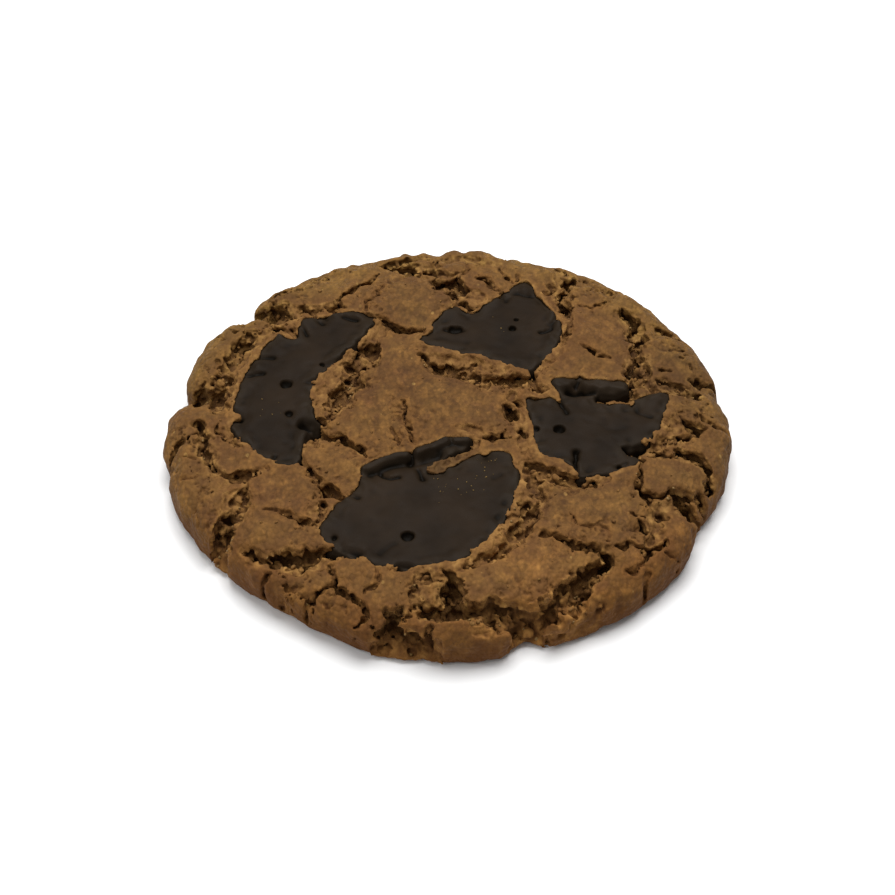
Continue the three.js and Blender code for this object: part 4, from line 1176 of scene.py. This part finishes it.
def chocolate_top(x, y, beside, piece):
    """Height of a piece's upper face. Beside is the distance to its outline, below zero inside."""
    edge = smooth_step(beside, -2.8, -0.2)
    height = crust_height(x, y) - CHOCOLATE_SINK
    height = height + 0.12 * fractal([x, y], 4.0, 211, 3) + edge * 0.5 * fractal([x, y], 2.4, 223, 2)
    height = raised(height, x, y, piece["swell"])
    for half_width, lift, points in piece["bars"]:
        distance = line_distance(x + 0.25 * noise([x, y], 1.6, 227), y, smooth_line(points))[0]
        height = height + lift * smooth_step(-distance, -1.25 * half_width, -0.4 * half_width)
    for half_width, depth, points in piece["creases"]:
        distance = line_distance(x + 0.25 * noise([x, y], 1.2, 229), y, smooth_line(points))[0]
        height = height - depth * bump(distance, half_width)
    return np.minimum(height, HIGHEST - 0.03)


def chocolate_field(name, piece):
    """Distance to a piece of chocolate's surface, below zero inside."""
    part, beside = chunk_maps[name]
    top = chocolate_top(plan_x[part], plan_y[part], beside, piece)
    z = rise[None, None, :]
    above = (z - top[..., None]) * slope_scale(top)[..., None]
    # the piece gets a little wider below its upper edge
    under = np.clip(top[..., None] - z, 0.0, 3.0)
    side = beside[..., None] - 0.02 - 0.28 * smooth_step(under, 0.3, 1.2)
    whole = np.full((len(axis), len(axis), len(rise)), FIELD_LIMIT, np.float32)
    whole[part] = smooth_max(smooth_max(above, side, 0.45), CHOCOLATE_FLOOR - z, 0.5)
    bubbles = [(x, y, float(crust_height(x, y)) - CHOCOLATE_SINK - 0.25, radius)
               for x, y, radius in piece["bubbles"]]
    stamp_balls(whole, bubbles, cut=True, bumpy=0.3)
    return whole


def make_chocolate(name, whole):
    made, points = mesh_from_field("chocolate_" + name.removeprefix("chunk_"), whole)
    # edge carries a painted sheen along the outline, dip carries painted shade into the dents
    edge = sample(nearest_chunk, points[:, 0], points[:, 1])
    dip = hollowness(whole, points, 0.9)
    add_attributes(made, edge=smooth_step(edge, -2.4, -0.1), dip=np.clip(dip / 0.16, 0.0, 1.0))
    return made


# ------------------------------------------------------------------ crumbs and sugar


def rounded_grain():
    """Points and triangles of a crumb: a twenty-sided ball with each face split in four."""
    golden_ratio = (1.0 + 5.0**0.5) / 2.0
    corners = [(a, b * golden_ratio, 0) for b in (1, -1) for a in (-1, 1)]
    corners = corners + [(z, x, y) for x, y, z in corners] + [(y, z, x) for x, y, z in corners]
    points = [Vector(point).normalized() for point in corners]
    faces = [
        (0, 11, 5), (0, 5, 1), (0, 1, 7), (0, 7, 10), (0, 10, 11), (1, 5, 9), (5, 11, 4), (11, 10, 2),
        (10, 7, 6), (7, 1, 8), (3, 9, 4), (3, 4, 2), (3, 2, 6), (3, 6, 8), (3, 8, 9), (4, 9, 5),
        (2, 4, 11), (6, 2, 10), (8, 6, 7), (9, 8, 1),
    ]
    halves = {}
    split = []
    for a, b, c in faces:
        middles = []
        for first, second in ((a, b), (b, c), (c, a)):
            key = tuple(sorted((first, second)))
            if key not in halves:
                halves[key] = len(points)
                points.append((points[first] + points[second]).normalized())
            middles.append(halves[key])
        ab, bc, ca = middles
        split += [(a, ab, ca), (b, bc, ab), (c, ca, bc), (ab, bc, ca)]
    return np.array([tuple(point) for point in points]), np.array(split)


def sugar_grain():
    """Points and triangles of a cube, for a sugar crystal."""
    points = np.array([(x, y, z) for z in (-1, 1) for y in (-1, 1) for x in (-1, 1)], float)
    squares = [(0, 2, 3, 1), (4, 5, 7, 6), (0, 1, 5, 4), (2, 6, 7, 3), (0, 4, 6, 2), (1, 3, 7, 5)]
    triangles = [face for a, b, c, d in squares for face in ((a, b, c), (a, c, d))]
    return points, np.array(triangles)


def lying_on(field, x, y, radius, lift, room):
    """Places of grains on a surface, lifted from it and kept below the highest point by so many radii."""
    z = np.minimum(surface_heights(field, x, y) + lift * radius, HIGHEST - room * radius)
    return np.stack([x, y, z], 1)


def scattered(name, shape, places, radii, uneven, seed):
    """One mesh of many grains of a shape, each turned and stretched at random, at places (x, y, z)."""
    chance = np.random.default_rng(seed)
    base, faces = shape
    all_points = []
    all_faces = []
    for index, (place, radius) in enumerate(zip(places, radii)):
        turn, _ = np.linalg.qr(chance.normal(size=(3, 3)))
        turn[:, 0] *= np.sign(np.linalg.det(turn))
        stretch = 1.0 + uneven * chance.uniform(-1.0, 1.0, 3)
        wobble = 1.0 + 0.5 * uneven * chance.uniform(-1.0, 1.0, (len(base), 1))
        all_points.append((base * wobble * stretch * radius) @ turn.T + place)
        all_faces.append(faces + index * len(base))
    points = np.vstack(all_points)
    return build_mesh(name, points, np.vstack(all_faces)), points


def loose_crumbs(field):
    """Crumbs lying in the hollows, and a few small ones on the crust."""
    x, y, chance = broken_places(CRUMBS, 19)
    radius = draw_radii(chance, CRUMBS, *CRUMB_RADII)
    x_on_top, y_on_top = on_disc(chance, CRUMBS_ON_TOP, 42.0, 0.5)
    x, y = np.append(x, x_on_top), np.append(y, y_on_top)
    radius = np.append(radius, chance.uniform(0.1, 0.24, CRUMBS_ON_TOP))
    keep = (sample(nearest_chunk, x, y) > radius + 0.2) & (np.hypot(x, y) < 42.5)
    keep &= surface_heights(field, x, y) < crust_height(x, y) + 0.5
    x, y, radius = x[keep], y[keep], radius[keep]
    places = lying_on(field, x, y, radius, 0.3, 1.3)
    piece, points = scattered("loose_crumbs", rounded_grain(), places, radius, 0.42, 21)
    # depth gives the loose crumbs some painted shade
    add_attributes(piece, crumb=0.9, depth=0.3, tone=1.0, height=points[:, 2] / CROWN_HEIGHT)
    return piece


def sugar_crystals(field):
    """Undissolved sugar in the breaks, as it shows most at the front left."""
    x, y, chance = broken_places(CRYSTALS, 29)
    spots = np.array(SUGAR_SPOTS)
    picked = spots[chance.integers(0, len(spots), CRYSTALS_AT_SPOTS)]
    at_spots = picked[:, :2] + chance.normal(0.0, 1.0, (CRYSTALS_AT_SPOTS, 2)) * picked[:, 2:]
    x, y = np.append(x, at_spots[:, 0]), np.append(y, at_spots[:, 1])
    radius = chance.uniform(0.09, 0.2, len(x))
    keep = (sample(nearest_chunk, x, y) > radius + 0.15) & (sample(depth_map, x, y) > 0.3)
    keep &= (np.hypot(x, y) < 43.5) & (surface_heights(field, x, y) < crust_height(x, y) + 0.5)
    x, y, radius = x[keep], y[keep], radius[keep]
    places = lying_on(field, x, y, radius, 0.4, 1.8)
    return scattered("sugar_crystals", sugar_grain(), places, radius, 0.25, 31)[0]


def golden_specks(chocolate_fields):
    """Specks of dough on the chocolate: one at each spot, and two smaller ones near it."""
    chance = np.random.default_rng(37)
    spots = np.array(SPECKS)
    spread = chance.normal(0.0, 1.0, (len(spots) * 2, 2)) * 1.4
    x, y = np.concatenate([spots, np.repeat(spots, 2, axis=0) + spread]).T
    radius = np.concatenate([np.full(len(spots), 0.12), chance.uniform(0.05, 0.09, len(spots) * 2)])
    keep = sample(nearest_chunk, x, y) < -0.8
    x, y, radius = x[keep], y[keep], radius[keep]
    field = np.minimum.reduce(list(chocolate_fields.values()))
    places = lying_on(field, x, y, radius, 0.25, 1.3)
    return scattered("golden_specks", rounded_grain(), places, radius, 0.3, 41)[0]


# ------------------------------------------------------------------ materials

WHITE = (1.0, 1.0, 1.0, 1.0)
GRAIN_RUN = (1.0, 0.75, 1.0)  # grain and blotches are a little longer to the back than across


def srgb(red, green, blue):
    """A colour given as 0 to 255 display values, as the linear colour a shader takes."""
    def linear(value):
        share = value / 255.0
        return share / 12.92 if share <= 0.04045 else ((share + 0.055) / 1.055) ** 2.4
    return (linear(red), linear(green), linear(blue), 1.0)


def grey(value):
    return (value, value, value, 1.0)


class Nodes:
    """Short calls for building a material's node tree. A value is an output to link, or a constant."""

    def __init__(self, name):
        self.material = bpy.data.materials.new(name)
        self.material.use_nodes = True
        self.tree = self.material.node_tree
        self.shader = self.tree.nodes["Principled BSDF"]
        mapping = self.add("ShaderNodeMapping")
        mapping.inputs["Scale"].default_value = GRAIN_RUN
        self.feed(mapping.inputs["Vector"], self.add("ShaderNodeTexCoord").outputs["Object"])
        self.place = mapping.outputs["Vector"]

    def add(self, kind, **settings):
        node = self.tree.nodes.new(kind)
        for key, value in settings.items():
            setattr(node, key, value)
        return node

    def feed(self, socket, value):
        if hasattr(value, "links"):
            self.tree.links.new(value, socket)
        else:
            socket.default_value = value

    def texture(self, kind, size_mm):
        """A texture whose waves or cells are about size_mm long."""
        node = self.add(kind)
        self.feed(node.inputs["Vector"], self.place)
        node.inputs["Scale"].default_value = 1000.0 / size_mm
        return node

    def noise(self, size_mm, detail=2.0, roughness=0.5):
        node = self.texture("ShaderNodeTexNoise", size_mm)
        node.inputs["Detail"].default_value = detail
        node.inputs["Roughness"].default_value = roughness
        return node.outputs["Fac"]

    def cells(self, size_mm, output="Distance"):
        return self.texture("ShaderNodeTexVoronoi", size_mm).outputs[output]

    def ramp(self, value, *stops):
        """Colours or greys at places from 0 to 1: stops are (place, colour or grey)."""
        node = self.add("ShaderNodeValToRGB")
        self.feed(node.inputs["Fac"], value)
        stops = [(place, colour if isinstance(colour, tuple) else grey(colour)) for place, colour in stops]
        elements = node.color_ramp.elements
        elements[0].position, elements[0].color = stops[0]
        elements[1].position, elements[1].color = stops[-1]
        for position, colour in stops[1:-1]:
            elements.new(position).color = colour
        return node.outputs["Color"]

    def mix(self, share, first, second, blend="MIX"):
        node = self.add("ShaderNodeMix", data_type="RGBA", blend_type=blend)
        # these are the sockets that the node uses for colours
        for index, value in ((0, share), (6, first), (7, second)):
            self.feed(node.inputs[index], value)
        return node.outputs[2]

    def multiply(self, colour, gain):
        return self.mix(1.0, colour, gain, "MULTIPLY")

    def math(self, operation, first, second):
        node = self.add("ShaderNodeMath", operation=operation)
        self.feed(node.inputs[0], first)
        self.feed(node.inputs[1], second)
        return node.outputs[0]

    def attribute(self, name, gain=1.0):
        value = self.add("ShaderNodeAttribute", attribute_name=name).outputs["Fac"]
        return value if gain == 1.0 else self.math("MULTIPLY", value, gain)

    def bump(self, height, distance_mm, strength=1.0, under=None):
        node = self.add("ShaderNodeBump")
        node.inputs["Strength"].default_value = strength
        node.inputs["Distance"].default_value = distance_mm * MM
        self.feed(node.inputs["Height"], height)
        if under is not None:
            self.feed(node.inputs["Normal"], under)
        return node.outputs["Normal"]

    def finish(self, colour, roughness, specular, normal=None):
        """Feeds the shader and gives the material."""
        self.feed(self.shader.inputs["Base Color"], colour)
        self.feed(self.shader.inputs["Roughness"], roughness)
        self.feed(self.shader.inputs["Specular IOR Level"], specular)
        if normal is not None:
            self.feed(self.shader.inputs["Normal"], normal)
        return self.material


def crust_material():
    nodes = Nodes("crust")
    colour = nodes.ramp(
        nodes.noise(9.0, 3.0),
        (0.3, srgb(93, 61, 27)), (0.5, srgb(101, 69, 31)), (0.7, srgb(110, 78, 36)),
    )
    light_grain = nodes.ramp(nodes.noise(1.9, 3.0), (0.46, 0.0), (0.74, 0.6))
    colour = nodes.mix(light_grain, colour, srgb(132, 93, 45))
    dark_grain = nodes.ramp(nodes.noise(1.5, 3.0), (0.28, 0.6), (0.48, 0.0))
    colour = nodes.mix(dark_grain, colour, srgb(78, 50, 23))
    # purple-brown patches, and a few pale grains baked into the crust
    patches = nodes.ramp(nodes.noise(3.4, 4.0, 0.6), (0.54, 0.0), (0.72, 0.35))
    colour = nodes.mix(patches, colour, srgb(91, 58, 35))
    grain_size = nodes.ramp(nodes.noise(3.1, 0.0), (0.45, 0.0), (0.75, 0.16))
    is_grain = nodes.math("LESS_THAN", nodes.cells(2.3), grain_size)
    colour = nodes.mix(nodes.math("MULTIPLY", is_grain, 0.5), colour, srgb(158, 124, 67))
    # painted shade darkens the seams between the grains, and no two grains are quite alike
    colour = nodes.multiply(colour, nodes.ramp(nodes.cells(0.7), (0.1, 1.1), (0.75, 0.84)))
    for size in (0.55, 1.1):
        colour = nodes.multiply(colour, nodes.ramp(nodes.cells(size, "Color"), (0.2, 0.86), (0.8, 1.14)))
    # the crust beside breaks is browner, partly baked colour and partly painted shade on its slope down to
    # them; the edges of breaks golden, broken faces sandy
    colour = nodes.mix(nodes.attribute("browned", 0.75), colour, srgb(77, 49, 24))
    colour = nodes.mix(nodes.attribute("frayed", 0.35), colour, srgb(114, 75, 33))
    inside = nodes.ramp(
        nodes.noise(1.4, 3.0, 0.55),
        (0.32, srgb(88, 58, 27)), (0.5, srgb(113, 79, 39)), (0.7, srgb(146, 108, 58)),
    )
    # painted shade: crumb darker the deeper it lies below the crust
    inside = nodes.mix(nodes.attribute("depth", 0.35), inside, srgb(62, 39, 17))
    crumb = nodes.attribute("crumb")
    colour = nodes.mix(crumb, colour, inside)
    # painted light on the lumps, painted shade in the pits and dips
    shade = nodes.mix(nodes.attribute("lump"), WHITE, (1.1, 1.11, 1.1, 1.0))
    shade = nodes.mix(nodes.attribute("pit"), shade, (0.66, 0.60, 0.54, 1.0))
    shade = nodes.mix(nodes.attribute("dip", 0.75), shade, (0.52, 0.45, 0.38, 1.0))
    colour = nodes.multiply(colour, shade)
    # paler and darker patches, partly baked tone and partly painted light and shade: the ramp takes half of
    # the value, which may be above 1, and doubles it again
    colour = nodes.multiply(colour, nodes.ramp(nodes.attribute("tone", 0.5), (0.0, 0.0), (1.0, 2.0)))
    # the far rim bakes yellower and gets painted light, the near side bakes redder and gets painted shade
    for baked, gain in (("golden", (1.14, 1.25, 1.15, 1.0)), ("ruddy", (0.96, 0.86, 0.77, 1.0))):
        colour = nodes.multiply(colour, nodes.mix(nodes.attribute(baked), WHITE, gain))
    # darker towards the bottom: partly the underside's baked colour, partly painted shade on the lower
    # side, less on crumb
    foot = nodes.ramp(nodes.attribute("height"), (0.0, 1.0), (0.7, 0.0))
    foot = nodes.mix(nodes.math("MULTIPLY", crumb, 0.7), foot, grey(0.0))
    colour = nodes.mix(foot, colour, srgb(84, 48, 13))
    grains = nodes.bump(nodes.ramp(nodes.cells(0.7), (0.0, 1.0), (0.8, 0.0)), 0.19)
    return nodes.finish(colour, 0.85, 0.2, nodes.bump(nodes.noise(1.8, 3.0), 0.35, 0.6, grains))


def chocolate_material():
    nodes = Nodes("chocolate")
    colour = nodes.ramp(nodes.noise(7.0), (0.28, srgb(28, 21, 14)), (0.72, srgb(40, 30, 20)))
    # painted sheen along the edge, painted shade in the bubbles and creases
    edge_sheen = nodes.math("MULTIPLY", nodes.attribute("edge"), nodes.noise(1.6, 3.0, 0.6))
    colour = nodes.mix(nodes.math("MULTIPLY", edge_sheen, 0.9), colour, srgb(44, 37, 29))
    colour = nodes.mix(nodes.attribute("dip"), colour, srgb(13, 9, 5))
    roughness = nodes.ramp(nodes.noise(3.0, 3.0), (0.3, 0.42), (0.7, 0.56))
    return nodes.finish(colour, roughness, 0.035, nodes.bump(nodes.noise(0.9, 3.0, 0.6), 0.08, 0.5))


# ------------------------------------------------------------------ stage and light, in metres

FLOOR_HALF = 2.0


def make_floor():
    mesh = bpy.data.meshes.new("floor")
    corners = [(x * FLOOR_HALF, y * FLOOR_HALF, 0.0) for x, y in ((-1, -1), (1, -1), (1, 1), (-1, 1))]
    mesh.from_pydata(corners, [], [(0, 1, 2, 3)])
    floor = bpy.data.objects.new("floor", mesh)
    bpy.context.collection.objects.link(floor)
    mesh.materials.append(Nodes("floor").finish(grey(0.9), 0.9, 0.5))


def area_light(name, place, size, power):
    """A square lamp that faces the middle of the cookie."""
    data = bpy.data.lights.new(name, "AREA")
    data.size = size
    data.energy = power
    light = bpy.data.objects.new(name, data)
    bpy.context.collection.objects.link(light)
    light.location = place
    light.rotation_mode = "QUATERNION"
    light.rotation_quaternion = Vector(place).to_track_quat("Z", "Y")


def make_lights():
    world = bpy.data.worlds.new("world")
    bpy.context.scene.world = world
    world.use_nodes = True
    background = world.node_tree.nodes["Background"]
    background.inputs["Color"].default_value = WHITE
    background.inputs["Strength"].default_value = 0.27
    area_light("key", (0.03, 0.20, 0.55), 0.55, 5.2)
    area_light("fill", (-0.35, -0.25, 0.42), 0.35, 0.9)
    bpy.context.scene.view_settings.view_transform = "Standard"


# ------------------------------------------------------------------ assembly

crust = crust_material()
chocolate = chocolate_material()
sugar = Nodes("sugar").finish(srgb(120, 92, 50), 0.4, 0.3)
golden = Nodes("golden").finish(srgb(104, 82, 42), 0.8, 0.3)

chocolate_fields = {name: chocolate_field(name, piece) for name, piece in CHOCOLATE.items()}

dough, surface_field = make_dough(chocolate_fields)
dough.data.materials.append(crust)
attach(dough, BODY)
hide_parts("cookie_dough")

for node, whole in chocolate_fields.items():
    made = make_chocolate(node, whole)
    made.data.materials.append(chocolate)
    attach(made, BODY)
    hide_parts(node)

small_pieces = [
    (loose_crumbs(surface_field), crust),
    (sugar_crystals(surface_field), sugar),
    (golden_specks(chocolate_fields), golden),
]
for made, look in small_pieces:
    made.data.materials.append(look)
    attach(made, BODY)

make_floor()
make_lights()
